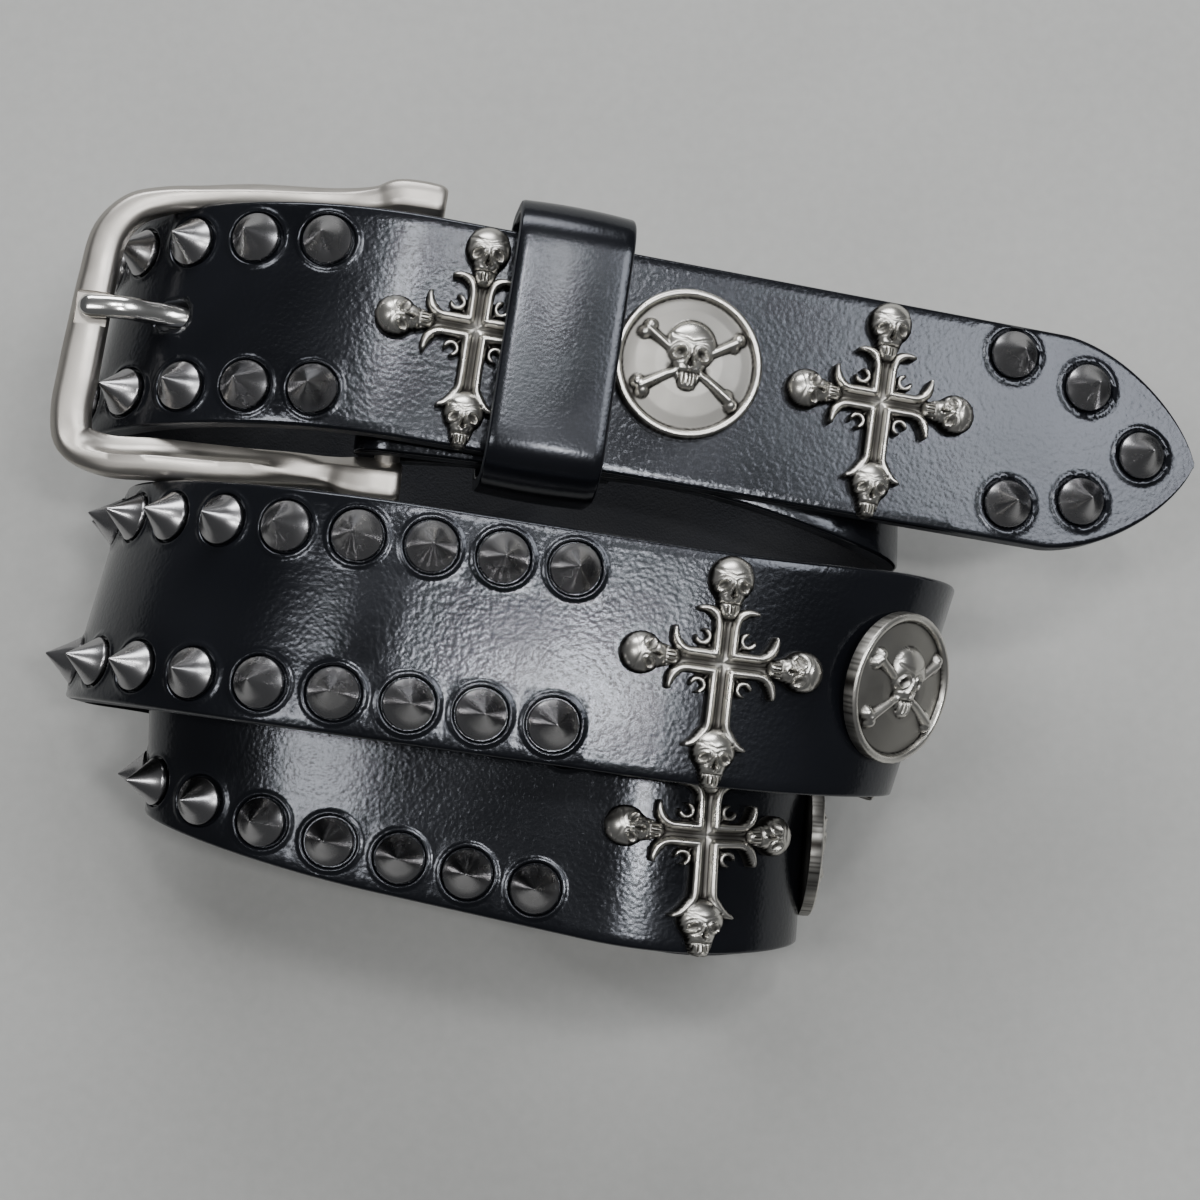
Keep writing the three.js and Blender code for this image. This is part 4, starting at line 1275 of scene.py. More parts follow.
@dataclass
class Cross:
    """A cast cross with curled horns, a small ring in each corner and a skull at each end."""

    path: StrapPath
    step: float = 0.2
    wire: float = 0.74
    crest: float = 2.4
    base: float = 1.0
    centre_offset: float = 0.9
    horn_side: Polyline = ((1.4, 1.4), (4.0, 1.4), (6.0, 1.45), (7.1, 1.9), (7.9, 2.8), (8.3, 4.0),
                           (8.35, 4.9))
    horn_top: Polyline = ((1.4, 1.4), (4.0, 1.4), (6.3, 1.5), (7.8, 2.1), (8.5, 3.4), (8.4, 4.9))
    horn_low: Polyline = ((1.4, 1.4), (5.0, 1.4), (8.4, 1.4), (10.4, 1.55), (11.9, 2.4), (13.1, 3.5),
                          (13.6, 4.6))
    skulls: tuple[tuple[float, float, float, float, float], ...] = (
        (11.9, 0.0, 270.0, 6.9, 9.4), (-11.9, 0.0, 90.0, 6.9, 9.4), (0.0, 12.2, 0.0, 7.6, 10.3),
        (0.0, -15.4, 0.0, 7.0, 9.6))

    def draw(self) -> Draft:
        """Draws the flat cross: x towards the tip, y across the strap."""
        relief = Relief((-16.6, -21.0), (16.6, 17.6), self.step)
        self.draw_floor(relief)
        for side in (-1, 1):
            for up in (-1, 1):
                self.draw_corner(relief, side, up)
        for x, y, turn, width, length in self.skulls:
            SkullSizes(width, length, 3.7 if length > 10 else 3.5).draw(relief, (x, y), turn)
        return relief.outline_draft(-0.35)

    def draw_floor(self, relief: Relief) -> None:
        """Lays the grooved floor between the ridges, whose creases meet in an X."""
        x, y = relief.x, relief.y
        reach_low = 13.2
        widen = np.interp(-y, [8.0, 10.5, 12.6, reach_low], [1.5, 1.7, 2.9, 3.2])
        upright = np.minimum(widen - np.abs(x), np.minimum(9.6 - y, y + reach_low))
        level = np.minimum(1.5 - np.abs(y), 9.6 - np.abs(x))
        crease = np.minimum(np.abs(x), np.abs(y))
        height = self.base + 0.05 + 0.55 * np.clip(crease, 0, 1.0)
        relief.raise_to(np.where(upright > 0, height, -1), upright)
        relief.raise_to(np.where(level > 0, height, -1), level)

    def draw_corner(self, relief: Relief, side: int, up: int) -> None:
        """Lays one corner's ridges, horns and ring."""
        low = self.horn_low if up < 0 else self.horn_top
        upright = [(side * b, up * a) for a, b in low]
        level = [(side * a, up * b) for a, b in self.horn_side]
        for points in (upright, level):
            fine = smooth_line(points, 6)
            count = len(fine)
            radii = [self.wire * self.taper(index / count) for index in range(count)]
            relief.stroke(fine, radii, self.base - 0.25, self.crest, 0.42)
        centre = (side * 3.75, up * 3.95)
        opening = math.atan2(up, side)
        ring = [(centre[0] + 1.08 * math.cos(opening + turn), centre[1] + 1.08 * math.sin(opening + turn))
                for turn in np.linspace(0.75, 2 * math.pi - 0.75, 22)]
        tips = [0.2 + 0.26 * min(1.0, min(index, 21 - index) / 4) for index in range(22)]
        relief.stroke(ring, tips, 0.7, 1.75, 0.5)
        relief.stroke([(side * 2.2, up * 2.2), (side * 3.0, up * 3.1)], [0.5, 0.4], 0.6, 1.3)

    @staticmethod
    def taper(share: float) -> float:
        """A ridge's width at a share of its run: even at first, then swelling and running out as a horn."""
        even = 0.55
        return 1.0 if share < even else 1.2 - 0.85 * ((share - even) / 0.45) ** 1.8

    def build(self, name: str, flat: Draft, distance: float) -> bpy.types.Object:
        """Bends a copy of the flat cross onto the strap at a distance from its tip."""
        x, y, z = flat.points.T
        size = self.path.sizes
        height = size.thickness / 2 + size.clearance + z
        points = self.path.from_tip(distance - x).place(0, self.centre_offset + y, height)
        draft = Draft(points, flat.faces, None, flat.values)
        piece = draft.piece(name, [finish_material(Finish.SILVER)], sharp=62)
        return close_back(piece)


def smooth_line(points: Polyline, parts: int) -> list[tuple[float, float]]:
    """A rounded polyline through points, with parts pieces between each two."""
    spots = np.array([points[0], *points, points[-1]])
    line = []
    for index in range(len(points) - 1):
        p0, p1, p2, p3 = spots[index:index + 4]
        for part in range(parts):
            t = part / parts
            line.append(tuple(0.5 * (2 * p1 + (p2 - p0) * t + (2 * p0 - 5 * p1 + 4 * p2 - p3) * t * t
                                     + (3 * p1 - p0 - 3 * p2 + p3) * t ** 3)))
    return line + [tuple(points[-1])]


def close_back(piece: bpy.types.Object) -> bpy.types.Object:
    """Closes an ornament's open back."""
    work = bmesh.new()
    work.from_mesh(piece.data)
    rim = [edge for edge in work.edges if edge.is_boundary]
    bmesh.ops.triangle_fill(work, use_beauty=False, use_dissolve=False, edges=rim)
    bmesh.ops.recalc_face_normals(work, faces=work.faces)
    work.to_mesh(piece.data)
    work.free()
    return piece


@dataclass
class Medallion:
    """A round medallion: a turned rim and a polished dome that carries a plain skull over crossed bones."""

    path: StrapPath
    step: float = 0.2
    radius: float = 12.75
    rim: float = 1.4
    dome: float = 2.35

    def draw(self) -> Draft:
        """Draws the flat medallion."""
        reach = self.radius + 0.6
        relief = Relief((-reach, -reach), (reach, reach), self.step)
        away = np.hypot(relief.x, relief.y)
        inner = self.radius - self.rim
        profile = ((0.0, self.dome), (0.5 * inner, 0.9 * self.dome), (0.8 * inner, 0.66 * self.dome),
                   (inner - 0.5, 1.12), (inner - 0.1, 1.05), (inner + 0.15, 1.75), (inner + 0.45, 1.95),
                   (self.radius - 0.45, 1.95), (self.radius - 0.12, 1.7), (self.radius, 1.4))
        height = np.interp(away, [row[0] for row in profile], [row[1] for row in profile])
        relief.raise_to(height, self.radius + 0.5 - away)
        bare = relief.height.copy()
        self.draw_bones(relief)
        skull = SkullSizes(8.6, 11.6, 3.9, 2.0)
        skull.draw(relief, (0.0, 1.1), 0.0)
        antiqued = 0.62 * ((relief.height - bare < 0.04) & (away < inner))
        return self.round_draft(relief, np.maximum(relief.hollow_mask(), box_blur(antiqued, 1)))

    def round_draft(self, relief: Relief, patina: Array) -> Draft:
        """Reads the relief on rings round its middle, so that the medallion's rim is truly round.

        Args:
            relief: The flat medallion's heights.
            patina: How dark each place is, from 0 to 1.

        Returns:
            Draft: The mesh in the relief's own millimetres.
        """
        sectors = 220
        radii = np.concatenate([np.linspace(0.12, self.radius - self.rim - 0.6, 52),
                                np.linspace(self.radius - self.rim - 0.5, self.radius, 16)])
        angles = 2 * np.pi * np.arange(sectors) / sectors
        x = radii[:, None] * np.cos(angles)
        y = radii[:, None] * np.sin(angles)
        height, hollow = relief.read(relief.height, x * 0.998, y * 0.998), relief.read(patina, x, y)
        x, y, height, hollow = (np.concatenate([grid, grid[-1:]]).ravel() for grid in (x, y, height, hollow))
        height[-sectors:] = -0.35
        faces = ring_faces(len(radii) + 1, sectors)
        faces.append(tuple(range(sectors)))
        return Draft(np.stack([x, y, height], axis=1), faces, None, {RECESS: hollow})

    def draw_bones(self, relief: Relief) -> None:
        """Lays two crossed bones behind the skull."""
        for side in (-1, 1):
            ends = [(-side * 7.6, -5.2), (side * 7.6, 4.6)]
            relief.stroke(ends, [0.85, 0.85], 1.5, 3.0)
            for x, y in ends:
                along = 1 if y > 0 else -1
                for knob in (-1, 1):
                    centre = (x + 0.75 * knob * 0.6, y + 0.85 * along * knob * 0.8)
                    relief.stroke([centre, (centre[0] + 0.01, centre[1])], [1.15, 1.15], 1.3, 2.7)

    def build(self, name: str, flat: Draft, seat: Frames) -> bpy.types.Object:
        """Seats a copy of the flat medallion on the strap's outer face."""
        x, y, z = flat.points.T
        points = seat.place(x, y, z + self.path.sizes.clearance)
        draft = Draft(points, flat.faces, None, flat.values)
        piece = draft.piece(name, [finish_material(Finish.SILVER)], sharp=62)
        return close_back(piece)


# Keeper


@dataclass
class Keeper:
    """The leather loop that holds the tip, open along the strap."""

    path: StrapPath
    length: float = 19.5
    thickness: float = 2.5
    side_room: float = 3.4
    top_room: float = 4.2
    corner: float = 5.5
    distance: float = 114.01
    corner_parts: int = 10
    side_parts: int = 14

    def room(self) -> tuple[float, float]:
        """Heights of the loop's inner face under and over the tip's middle."""
        size = self.path.sizes
        frames = self.path.from_tip(self.distance)
        heading = self.path.headings[0]
        depths = []
        for share in (-0.5, 0.5):
            place = frames.place(share * self.length, 0, 0) - self.path.heel
            forward = place @ frames.along / (heading @ frames.along)
            depths.append((place - forward * heading) @ frames.out)
        layers = max(depths) + 1.5 * size.thickness + size.clearance
        return -(layers + 2 * size.clearance), size.thickness / 2 + self.top_room

    def outline(self) -> tuple[Array, Array]:
        """The loop's inner outline across the strap, with its outward directions."""
        bottom, top = self.room()
        half = self.path.sizes.width / 2 + self.side_room
        corners = ((half, bottom, -90), (half, top, 0), (-half, top, 90), (-half, bottom, 180))
        points, ways = [], []
        for x, y, start in corners:
            centre = (x - math.copysign(self.corner, x), y + (self.corner if y == bottom else -self.corner))
            for part in range(self.corner_parts + 1):
                angle = math.radians(start + 90 * part / self.corner_parts)
                way = np.array([math.cos(angle), math.sin(angle)])
                points.append(np.array(centre) + self.corner * way)
                ways.append(way)
        fine_points, fine_ways = [], []
        count = len(points)
        for index in range(count):
            after = (index + 1) % count
            gap = np.linalg.norm(points[after] - points[index])
            parts = self.side_parts if gap > 5 else 1
            for part in range(parts):
                fine_points.append(points[index] + (points[after] - points[index]) * part / parts)
                fine_ways.append(ways[index])
        return np.array(fine_points), np.array(fine_ways)

    def section(self) -> list[tuple[float, float]]:
        """The band's section: place along the strap and height above the loop's inner face."""
        half, thick = self.length / 2, self.thickness
        outer = [(share * (half - 0.5), thick - 0.35 * share ** 2) for share in np.linspace(-1, 1, 15)]
        return [(-half, 0.25), (-half, thick - 0.85), (0.16 - half, thick - 0.52), *outer,
                (half - 0.16, thick - 0.52), (half, thick - 0.85), (half, 0.25), (half - 0.25, 0.0),
                (0.25 - half, 0.0)]

    def build(self) -> bpy.types.Object:
        """Builds the loop round both layers of the strap."""
        base, ways = self.outline()
        section = self.section()
        steps = np.linalg.norm(np.roll(base, -1, axis=0) - base, axis=1)
        around = np.concatenate([[0], np.cumsum(steps)[:-1]])
        frames = self.path.from_tip(self.distance)
        points, places = [], []
        for (x, y), (wx, wy), run in zip(base, ways, around):
            for forward, rise in section:
                points.append(frames.place(forward, x + rise * wx, y + rise * wy))
                places.append((run, forward, rise))
        count = len(section)
        faces = ring_faces(len(base), count)
        last = (len(base) - 1) * count
        faces += [(last + corner, last + (corner + 1) % count, (corner + 1) % count, corner)
                  for corner in range(count)]
        edge = {0, 1, count - 4, count - 5}
        slots = [1 if face[0] % count in edge else 0 for face in faces]
        draft = Draft(np.array(points), faces, slots, hide=np.array(places))
        materials = [finish_material(Finish.KEEPER), finish_material(Finish.CUT_EDGE)]
        piece = draft.piece("belt_keeper", materials, sharp=50)
        face_outwards(piece)
        return piece


# Buckle


def catmull(rows: Array, spacing: Array, parts: int) -> Array:
    """A smooth line through rows of values.

    Args:
        rows: The rows, the first three columns being points.
        spacing: Distances between the rows, raised to the curve's power.
        parts: Pieces between each two rows.

    Returns:
        np.ndarray: Rows along the smooth line.
    """
    knots = np.concatenate([[0], np.cumsum(spacing)])
    slopes = np.gradient(rows, knots, axis=0)
    result = []
    for index, gap in enumerate(spacing):
        for part in range(parts):
            t = part / parts
            h = (2 * t ** 3 - 3 * t * t + 1, t ** 3 - 2 * t * t + t, 3 * t * t - 2 * t ** 3, t ** 3 - t * t)
            result.append(h[0] * rows[index] + h[1] * gap * slopes[index] + h[2] * rows[index + 1]
                          + h[3] * gap * slopes[index + 1])
    return np.array(result + [rows[-1]])


class RailShape(Enum):
    """Sections of the buckle's rail: shares of its half width, outer side first, and of its half depth."""

    BAR = ((-0.7, -1), (0, -1), (0.7, -1), (0.92, -0.86), (1, -0.55), (1, 0), (0.97, 0.4), (0.88, 0.7),
           (0.7, 0.88), (0.42, 0.97), (0.1, 1.0), (-0.2, 0.985), (-0.45, 0.95), (-0.6, 0.9), (-0.68, 0.82),
           (-0.95, 0.42), (-1, 0.3), (-1, -0.2), (-1, -0.6), (-0.9, -0.87))
    LEAF = ((-0.7, -1), (0, -1), (0.6, -1), (0.85, -0.8), (1, -0.35), (1, -0.1), (0.97, 0.12), (0.85, 0.22),
            (0.6, 0.26), (0.35, 0.36), (0.12, 0.6), (0.0, 0.93), (-0.1, 1.0), (-0.38, 0.88), (-0.62, 0.8),
            (-0.86, 0.62), (-0.97, 0.4), (-1, -0.1), (-1, -0.6), (-0.9, -0.87))
    HEAD = ((-0.7, -1), (0, -1), (0.7, -1), (0.92, -0.86), (1, -0.55), (1, 0), (0.99, 0.36), (0.94, 0.5),
            (0.7, 0.92), (0.6, 1), (0.2, 1), (-0.2, 1), (-0.6, 1), (-0.7, 0.94), (-0.78, 0.84),
            (-0.95, 0.5), (-0.99, 0.38), (-1, -0.2), (-1, -0.6), (-0.9, -0.87))
    LOW_HEAD = ((-0.7, -1), (0, -1), (0.7, -1), (0.92, -0.86), (1, -0.6), (1, -0.35), (0.97, -0.2),
                (0.9, -0.06), (0.6, 0.5), (0.48, 0.76), (0.38, 0.94), (0.28, 1), (0, 1), (-0.4, 1),
                (-0.66, 1), (-0.8, 0.93), (-0.93, 0.72), (-1, 0.3), (-1, -0.6), (-0.9, -0.87))


@dataclass(frozen=True)
class RailRow:
    """One section of the buckle's rail: where its middle is, its width, depth and roll, and its shape."""

    reach: float
    side: float
    wide: float
    deep: float
    lift: float
    roll: float
    shape: RailShape


@dataclass
class Buckle:
    """The cast buckle frame with its heel bar, and the prong that swings on it."""

    path: StrapPath
    length: float = 55.0
    width: float = 53.0
    bar: float = 6.4
    depth: float = 5.2
    heel_bar: float = 4.4
    heel_bar_share: float = 0.86
    toe_depth: float = 0.9
    toe_lift: float = 3.2
    prong_width: float = 3.9
    prong_thickness: float = 3.2
    prong_wall: float = 2.2
    prong_sunk: float = 1.2
    prong_turn: float = -0.05
    prong_end: float = 0.972
    hole_distance: float = 176.0
    visible_hole: float = 179.6
    rail: tuple[RailRow, ...] = (
        RailRow(-0.065, 0.975, 6.3, 7.2, 0.4, 0, RailShape.HEAD),
        RailRow(-0.02, 0.98, 6.5, 7.4, 0.4, 0, RailShape.HEAD),
        RailRow(0.055, 0.975, 6.3, 7.3, 0.4, 0, RailShape.HEAD),
        RailRow(0.11, 0.95, 5.1, 5.6, 0.3, 5, RailShape.HEAD),
        RailRow(0.2, 0.93, 4.3, 4.7, 0.2, 12, RailShape.BAR),
        RailRow(0.35, 0.895, 4.1, 4.7, 0.4, 20, RailShape.BAR),
        RailRow(0.5, 0.862, 4.1, 4.8, 0.6, 22, RailShape.BAR),
        RailRow(0.65, 0.807, 4.2, 4.9, 0.75, 16, RailShape.BAR),
        RailRow(0.76, 0.755, 4.6, 4.9, 0.88, 8, RailShape.BAR),
        RailRow(0.85, 0.672, 5.3, 4.9, 0.97, 2, RailShape.BAR),
        RailRow(0.912, 0.5, 5.8, 4.9, 1, 0, RailShape.BAR),
        RailRow(0.934, 0.2, 6.1, 4.8, 1, 0, RailShape.BAR),
        RailRow(0.945, -0.1, 6.4, 4.8, 1, 0, RailShape.BAR),
        RailRow(0.956, -0.42, 6.6, 4.9, 1, 0, RailShape.BAR),
        RailRow(0.962, -0.68, 6.5, 5.0, 1, 0, RailShape.BAR),
        RailRow(0.94, -0.85, 6.6, 5.0, 1, 0, RailShape.BAR),
        RailRow(0.85, -0.918, 6.9, 5.0, 0.95, 2, RailShape.LEAF),
        RailRow(0.7, -0.905, 7.1, 5.0, 0.75, 6, RailShape.LEAF),
        RailRow(0.55, -0.895, 6.9, 4.9, 0.55, 8, RailShape.LEAF),
        RailRow(0.4, -0.875, 6.2, 4.8, 0.35, 8, RailShape.LEAF),
        RailRow(0.28, -0.86, 5.5, 4.7, 0.2, 4, RailShape.BAR),
        RailRow(0.17, -0.855, 5.9, 5.0, 0.15, 2, RailShape.LOW_HEAD),
        RailRow(0.11, -0.87, 7.4, 6.4, 0.3, 0, RailShape.LOW_HEAD),
        RailRow(0.05, -0.877, 8.0, 7.4, 0.4, 0, RailShape.LOW_HEAD),
        RailRow(-0.02, -0.877, 8.0, 7.4, 0.4, 0, RailShape.LOW_HEAD))

    def __post_init__(self) -> None:
        """Finds the buckle's own directions: towards the toe bar, along the heel bar, and out."""
        path = self.path
        heel = path.from_tip(path.length - path.heel_distance)
        origin = heel.place(0, 0, -path.sizes.fold_radius)
        self.base = Frames(origin, -heel.along, heel.across, heel.out)

    def point(self, reach: float, side: float, lift: float) -> Array:
        """A place by its shares of the buckle's length, half width and lift."""
        return self.base.place(reach * self.length, side * self.width / 2, lift * self.toe_lift)

    def frame_draft(self) -> Draft:
        """Draws the rail from the upper arm's end round the toe bar to the lower arm's end."""
        rows = []
        for row in self.rail:
            centre = self.point(row.reach, row.side, row.lift)
            rows.append([*centre, row.wide, row.deep, row.roll, *np.ravel(row.shape.value)])
        table = np.array(rows)
        gaps = np.linalg.norm(np.diff(table[:, :3], axis=0), axis=1) ** 0.5
        line = catmull(table, gaps, 7)
        tangents = unit(np.gradient(line[:, :3], axis=0))
        count = len(RailShape.BAR.value)
        rings = []
        for values, tangent in zip(line, tangents):
            across = unit(np.cross(self.base.out, tangent))
            up = unit(np.cross(tangent, across))
            roll = math.radians(values[5])
            turned = across * math.cos(roll) - up * math.sin(roll)
            turned_up = up * math.cos(roll) + across * math.sin(roll)
            shape = values[6:].reshape(count, 2) * values[3:5] / 2
            rings.append(values[:3] + shape[:, :1] * turned + shape[:, 1:] * turned_up)
        rings = self.round_end(rings[::-1], -tangents[0])[::-1]
        rings = self.round_end(rings, tangents[-1])
        points = np.concatenate(rings)
        faces = ring_faces(len(rings), count)
        faces += [tuple(range(count)), tuple(range(len(points) - 1, len(points) - 1 - count, -1))]
        return Draft(points, faces)

    @staticmethod
    def round_end(rings: list[Array], way: Array) -> list[Array]:
        """Rounds the last ring of an arm off into a shoulder that points along way."""
        middle = rings[-1].mean(axis=0)
        steps = ((0.45, 0.985), (0.95, 0.94), (1.4, 0.86), (1.7, 0.74))
        return rings + [middle + forward * way + share * (rings[-1] - middle) for forward, share in steps]

    def heel_bar_draft(self, radius: float, half: float, inner: float, sides: int = 32) -> Draft:
        """A round bar, or a ring round it where inner is above 0, along the heel bar."""
        profile = [(inner, -half), (radius - 0.3, -half), (radius, 0.3 - half), (radius, half - 0.3),
                   (radius - 0.3, half), (inner, half)]
        points = []
        for side in range(sides):
            angle = 2 * math.pi * side / sides
            for away, along in profile:
                points.append(self.base.place(away * math.cos(angle), along, away * math.sin(angle)))
        count = len(profile)
        faces = ring_faces(sides, count, closed=inner > 0)
        last = (sides - 1) * count
        for corner in range(count if inner > 0 else count - 1):
            after = (corner + 1) % count
            faces.append((last + corner, last + after, after, corner))
        return Draft(np.array(points), faces)

    def prong_side(self, reach: float) -> float:
        """The prong's place across the buckle at a reach: straight over the used hole."""
        hole = self.path.from_tip(self.hole_distance).point - self.base.point
        slope = (hole @ self.base.across) / (hole @ self.base.along)
        return 2 * slope * reach * self.length / self.width + self.prong_turn * max(0.0, reach - 0.65) / 0.3

    def prong_rise(self) -> float:
        """How far the prong's middle lies above the toe bar's."""
        clearance = self.path.sizes.clearance
        return (self.toe_depth * self.depth + self.prong_thickness) / 2 + clearance - self.prong_sunk

    def prong_draft(self) -> Draft:
        """Draws the prong from its ring, through the used hole, to its rest on the toe bar."""
        def on_toe_bar(reach: float) -> Array:
            """A place on the toe bar at the prong's height."""
            return self.point(reach, self.prong_side(reach), 1) + self.prong_rise() * self.base.out

        ring = self.heel_bar / 2 + self.path.sizes.clearance + self.prong_wall / 2
        spots = np.array([self.point(0, 0, 0) + ring * self.base.along,
                          self.point(0.32, self.prong_side(0.32), 0),
                          self.path.from_tip(self.visible_hole).place(0, 0, 0.6), on_toe_bar(0.84),
                          on_toe_bar(self.prong_end)])
        gaps = np.linalg.norm(np.diff(spots, axis=0), axis=1) ** 0.5
        line = catmull(spots, gaps, 12)
        tangents = unit(np.gradient(line, axis=0))
        sides = 20
        points = []
        lengths = np.concatenate([[0], np.cumsum(np.linalg.norm(np.diff(line, axis=0), axis=1))])
        for centre, tangent, run in zip(line, tangents, lengths):
            across = unit(np.cross(self.base.out, tangent))
            up = unit(np.cross(tangent, across))
            left = lengths[-1] - run
            narrow = math.sqrt(max(0.06, 1 - max(0.0, 1 - left / 2.2) ** 2))
            half, deep = narrow * self.prong_width / 2, narrow * self.prong_thickness / 2
            for corner in range(sides):
                angle = 2 * math.pi * corner / sides
                c, s = math.cos(angle), math.sin(angle)
                power = 0.75
                side = half * math.copysign(abs(c) ** power, c)
                height = deep * math.copysign(abs(s) ** power, s)
                points.append(centre + side * across + height * up)
        faces = [tuple(reversed(face)) for face in ring_faces(len(line), sides)]
        faces += [tuple(range(sides)), tuple(range(len(points) - 1, len(points) - 1 - sides, -1))]
        return Draft(np.array(points), faces)

    def build_frame(self) -> bpy.types.Object:
        """Builds the frame and its heel bar as one casting."""
        nickel = [finish_material(Finish.NICKEL)]
        rail = self.frame_draft().piece("buckle_rail", nickel)
        reach = (self.heel_bar_share * self.width + 3.0) / 2
        bar = self.heel_bar_draft(self.heel_bar / 2, reach, 0.0).piece("heel_bar", nickel)
        notch_box(self, rail)
        return join_pieces("belt_buckle_frame", [rail, bar])

    def build_prong(self) -> bpy.types.Object:
        """Builds the prong with its ring."""
        bright = [finish_material(Finish.BRIGHT)]
        inner = self.heel_bar / 2 + self.path.sizes.clearance
        collar = self.heel_bar_draft(inner + self.prong_wall, self.prong_width / 2, inner)
        ring = collar.piece("prong_ring", bright)
        tongue = self.prong_draft().piece("prong_tongue", bright)
        return join_pieces("belt_prong", [tongue, ring])


def notch_box(buckle: Buckle, rail: bpy.types.Object) -> None:
    """Cuts the notch in the toe bar that the prong's end lies in."""
    clearance = buckle.path.sizes.clearance
    side = buckle.prong_side(buckle.prong_end)
    centre = buckle.point(buckle.prong_end, side, 1) + buckle.prong_rise() * buckle.base.out
    base = Frames(centre, buckle.base.along, buckle.base.across, buckle.base.out)
    reach = (-1.5 * buckle.bar, 2 * clearance)
    half_y = buckle.prong_width / 2 + 3 * clearance
    half_z = buckle.prong_thickness / 2 + clearance
    corners = [(x, y, z) for x in reach for y in (-half_y, half_y) for z in (-half_z, 2 * half_z)]
    points = np.array([base.place(*corner) for corner in corners])
    faces = [(0, 1, 3, 2), (4, 6, 7, 5), (0, 4, 5, 1), (2, 3, 7, 6), (0, 2, 6, 4), (1, 5, 7, 3)]
    cutter = Draft(points, faces).piece("notch_cutter", [finish_material(Finish.NICKEL)])
    face_outwards(cutter)
    cut_away(rail, cutter, "notch")


def join_pieces(name: str, parts: Sequence[bpy.types.Object]) -> bpy.types.Object:
    """Joins parts into the first one, with their faces outwards."""
    work = bmesh.new()
    for part in parts:
        work.from_mesh(part.data)
    bmesh.ops.recalc_face_normals(work, faces=work.faces)
    first = parts[0]
    work.to_mesh(first.data)
    work.free()
    for part in parts[1:]:
        bpy.data.objects.remove(part)
    first.data.polygons.foreach_set("use_smooth", [True] * len(first.data.polygons))
    first.data.set_sharp_from_angle(angle=math.radians(45))
    first.name = name
    first.data.name = name
    return first


# Studio


@dataclass(frozen=True)
class SoftBox:
    """A soft light aimed at the belt: where it hangs, its sides, its power and its colour."""

    name: str
    place: tuple[float, float, float]
    sides: tuple[float, float]
    power: float
    colour: Colour = (1.0, 1.0, 1.0)


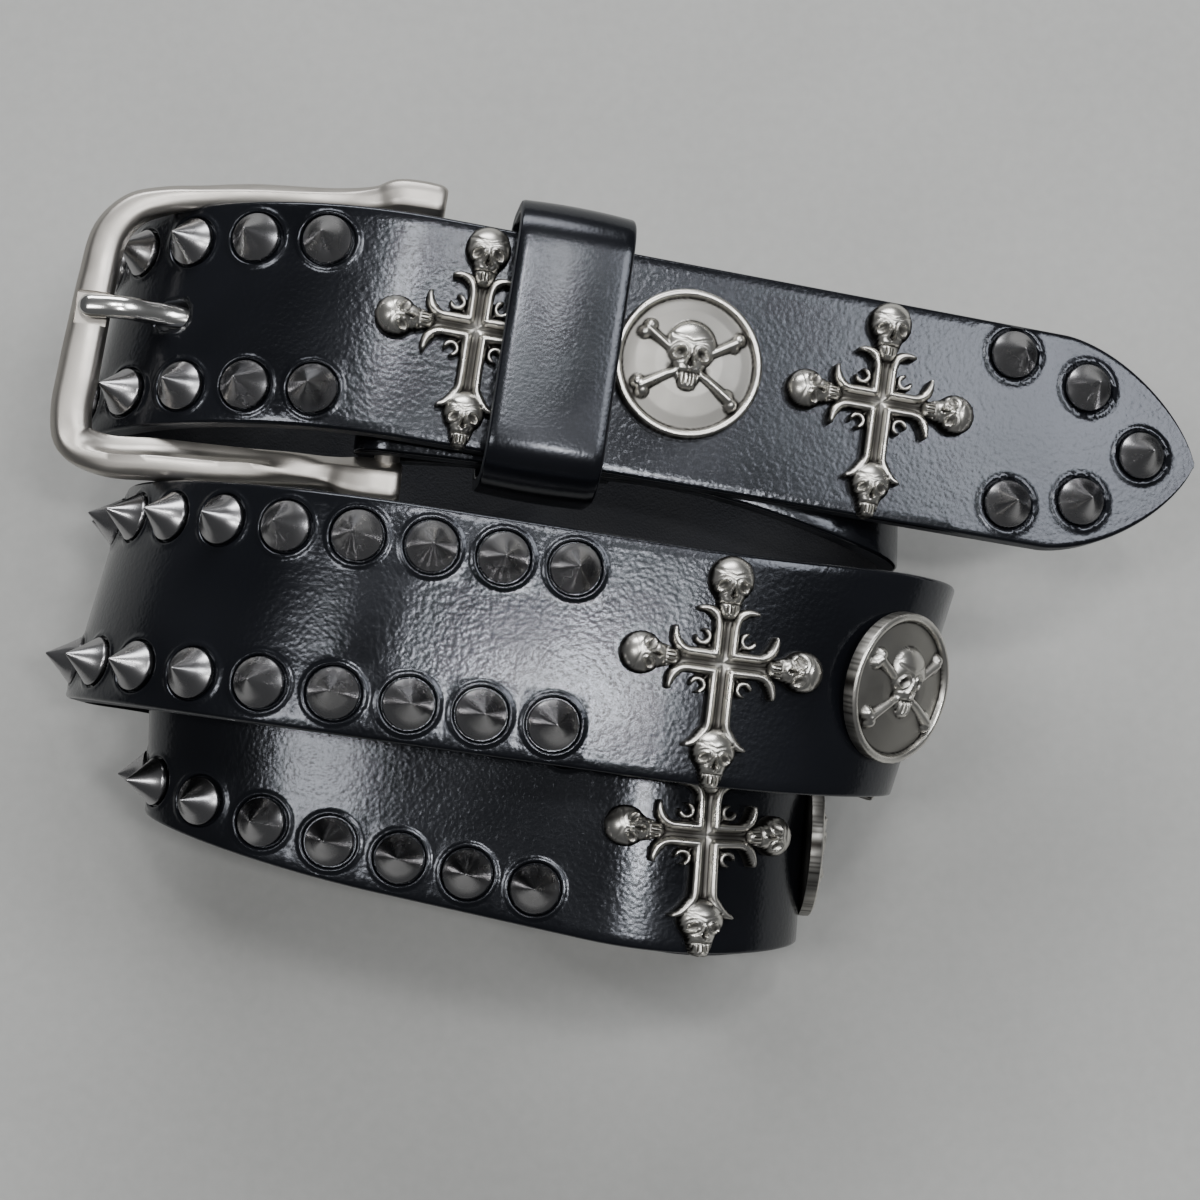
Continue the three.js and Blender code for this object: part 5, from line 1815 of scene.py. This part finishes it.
@dataclass
class Studio:
    """Plain pale floor, soft lights and the camera of the photograph."""

    camera_place: tuple[float, float, float] = (-0.003189, -0.041217, 0.403049)
    camera_tilt: float = 6.0
    lens: float = 61.38
    floor_colour: Colour = (0.43, 0.43, 0.415)
    lights: tuple[SoftBox, ...] = (
        SoftBox("overhead_light", (0.29, -0.06, 1.12), (0.05, 0.12), 2.6),
        SoftBox("keeper_light", (0.27, 0.31, 1.12), (0.1, 0.1), 1.3),
        SoftBox("first_light", (0.08, 0.29, 1.12), (0.09, 0.1), 1.9),
        SoftBox("left_light", (-0.38, 0.0, 1.05), (0.11, 0.3), 2.6),
        SoftBox("right_light", (0.62, 0.24, 0.95), (0.3, 0.3), 3.4, (0.95, 0.97, 1.0)),
        SoftBox("far_light", (-0.1, 1.3, 0.9), (1.2, 0.5), 21.0, (0.97, 0.98, 1.0)),
    )

    def floor(self) -> bpy.types.Object:
        """Lays the floor with a faint mottling."""
        mesh = bpy.data.meshes.new("floor")
        reach = 1.6
        corners = [(-reach, -reach, 0), (reach, -reach, 0), (reach, reach, 0), (-reach, reach, 0)]
        mesh.from_pydata(corners, [], [(0, 1, 2, 3)])
        material, draft, shader = new_material("floor_paper")
        place = draft.add("ShaderNodeTexCoord").outputs["Object"]
        speck = draft.add("ShaderNodeTexNoise", {"Vector": place, "Scale": 420.0, "Detail": 5.0})
        cloud = draft.add("ShaderNodeTexNoise", {"Vector": place, "Scale": 22.0, "Detail": 4.0})
        clouds = draft.math("MULTIPLY", cloud.outputs["Fac"], 0.55)
        mixed = draft.math("MULTIPLY_ADD", speck.outputs["Fac"], 0.45, clouds)
        tone = draft.span(mixed, 0.35, 0.65, 0.0, 1.0)
        dark = tuple(0.9 * part for part in self.floor_colour)
        draft.tree.links.new(draft.blend(tone, dark, self.floor_colour), shader.inputs["Base Color"])
        shader.inputs["Roughness"].default_value = 0.8
        mesh.materials.append(material)
        floor = bpy.data.objects.new("floor", mesh)
        bpy.context.scene.collection.objects.link(floor)
        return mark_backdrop(floor) or floor

    def light(self, box: SoftBox) -> None:
        """Hangs one soft light, aimed at the belt."""
        lamp = bpy.data.lights.new(box.name, "AREA")
        lamp.shape = "RECTANGLE"
        lamp.size, lamp.size_y = box.sides
        lamp.energy = box.power
        lamp.color = box.colour
        holder = bpy.data.objects.new(box.name, lamp)
        holder.location = box.place
        aim = Vector((0.0, 0.0, 0.04)) - Vector(box.place)
        holder.rotation_euler = aim.to_track_quat("-Z", "Y").to_euler()
        bpy.context.scene.collection.objects.link(holder)

    def build(self) -> None:
        """Sets up the floor, the lights, the pale surroundings and the camera."""
        self.floor()
        for box in self.lights:
            self.light(box)
        world = bpy.data.worlds.new("studio")
        world.use_nodes = True
        world.node_tree.nodes["Background"].inputs["Color"].default_value = (0.8, 0.82, 0.85, 1.0)
        world.node_tree.nodes["Background"].inputs["Strength"].default_value = 0.13
        bpy.context.scene.world = world
        camera = bpy.data.cameras.new("photo_camera")
        camera.lens = self.lens
        camera.sensor_width = 36.0
        camera.clip_start = 0.01
        holder = bpy.data.objects.new("photo_camera", camera)
        holder.location = self.camera_place
        holder.rotation_euler = Euler((math.radians(self.camera_tilt), 0.0, 0.0))
        bpy.context.scene.collection.objects.link(holder)
        bpy.context.scene.camera = holder


def main() -> None:
    """Builds and dresses every part of the belt."""
    logging.basicConfig(level=logging.INFO, format="%(name)s: %(message)s")
    Studio().build()
    path = StrapPath(StrapSizes())
    plan = StudPlan()
    finish_piece(Strap(path, plan).build(), ["strap"])
    seats = plan.nose_seats(path.sizes.width) + plan.run_seats()
    own = [seat.node for seat in seats if seat.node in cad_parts]
    finish_piece(Studs(path, seats).build(), own)
    cross, medallion = Cross(path), Medallion(path)
    flat_cross, flat_medallion = cross.draw(), medallion.draw()
    for group in GROUPS:
        places = (group.medallion - group.to_tip, group.medallion + group.to_buckle)
        for number, distance in enumerate(places, 1):
            piece = cross.build(f"belt_cross_{group.name}_{number}", flat_cross, distance)
            finish_piece(piece, [f"cross_{group.name}_{number}"])
        seat = path.face(group.medallion, group.across * path.sizes.width)
        disc = medallion.build(f"belt_medallion_{group.name}", flat_medallion, seat)
        finish_piece(disc, [f"medallion_{group.name}"])
    finish_piece(Keeper(path).build(), ["keeper"])
    buckle = Buckle(path)
    finish_piece(buckle.build_frame(), ["buckle_frame"])
    finish_piece(buckle.build_prong(), ["prong"])


if __name__ == "__main__":
    main()
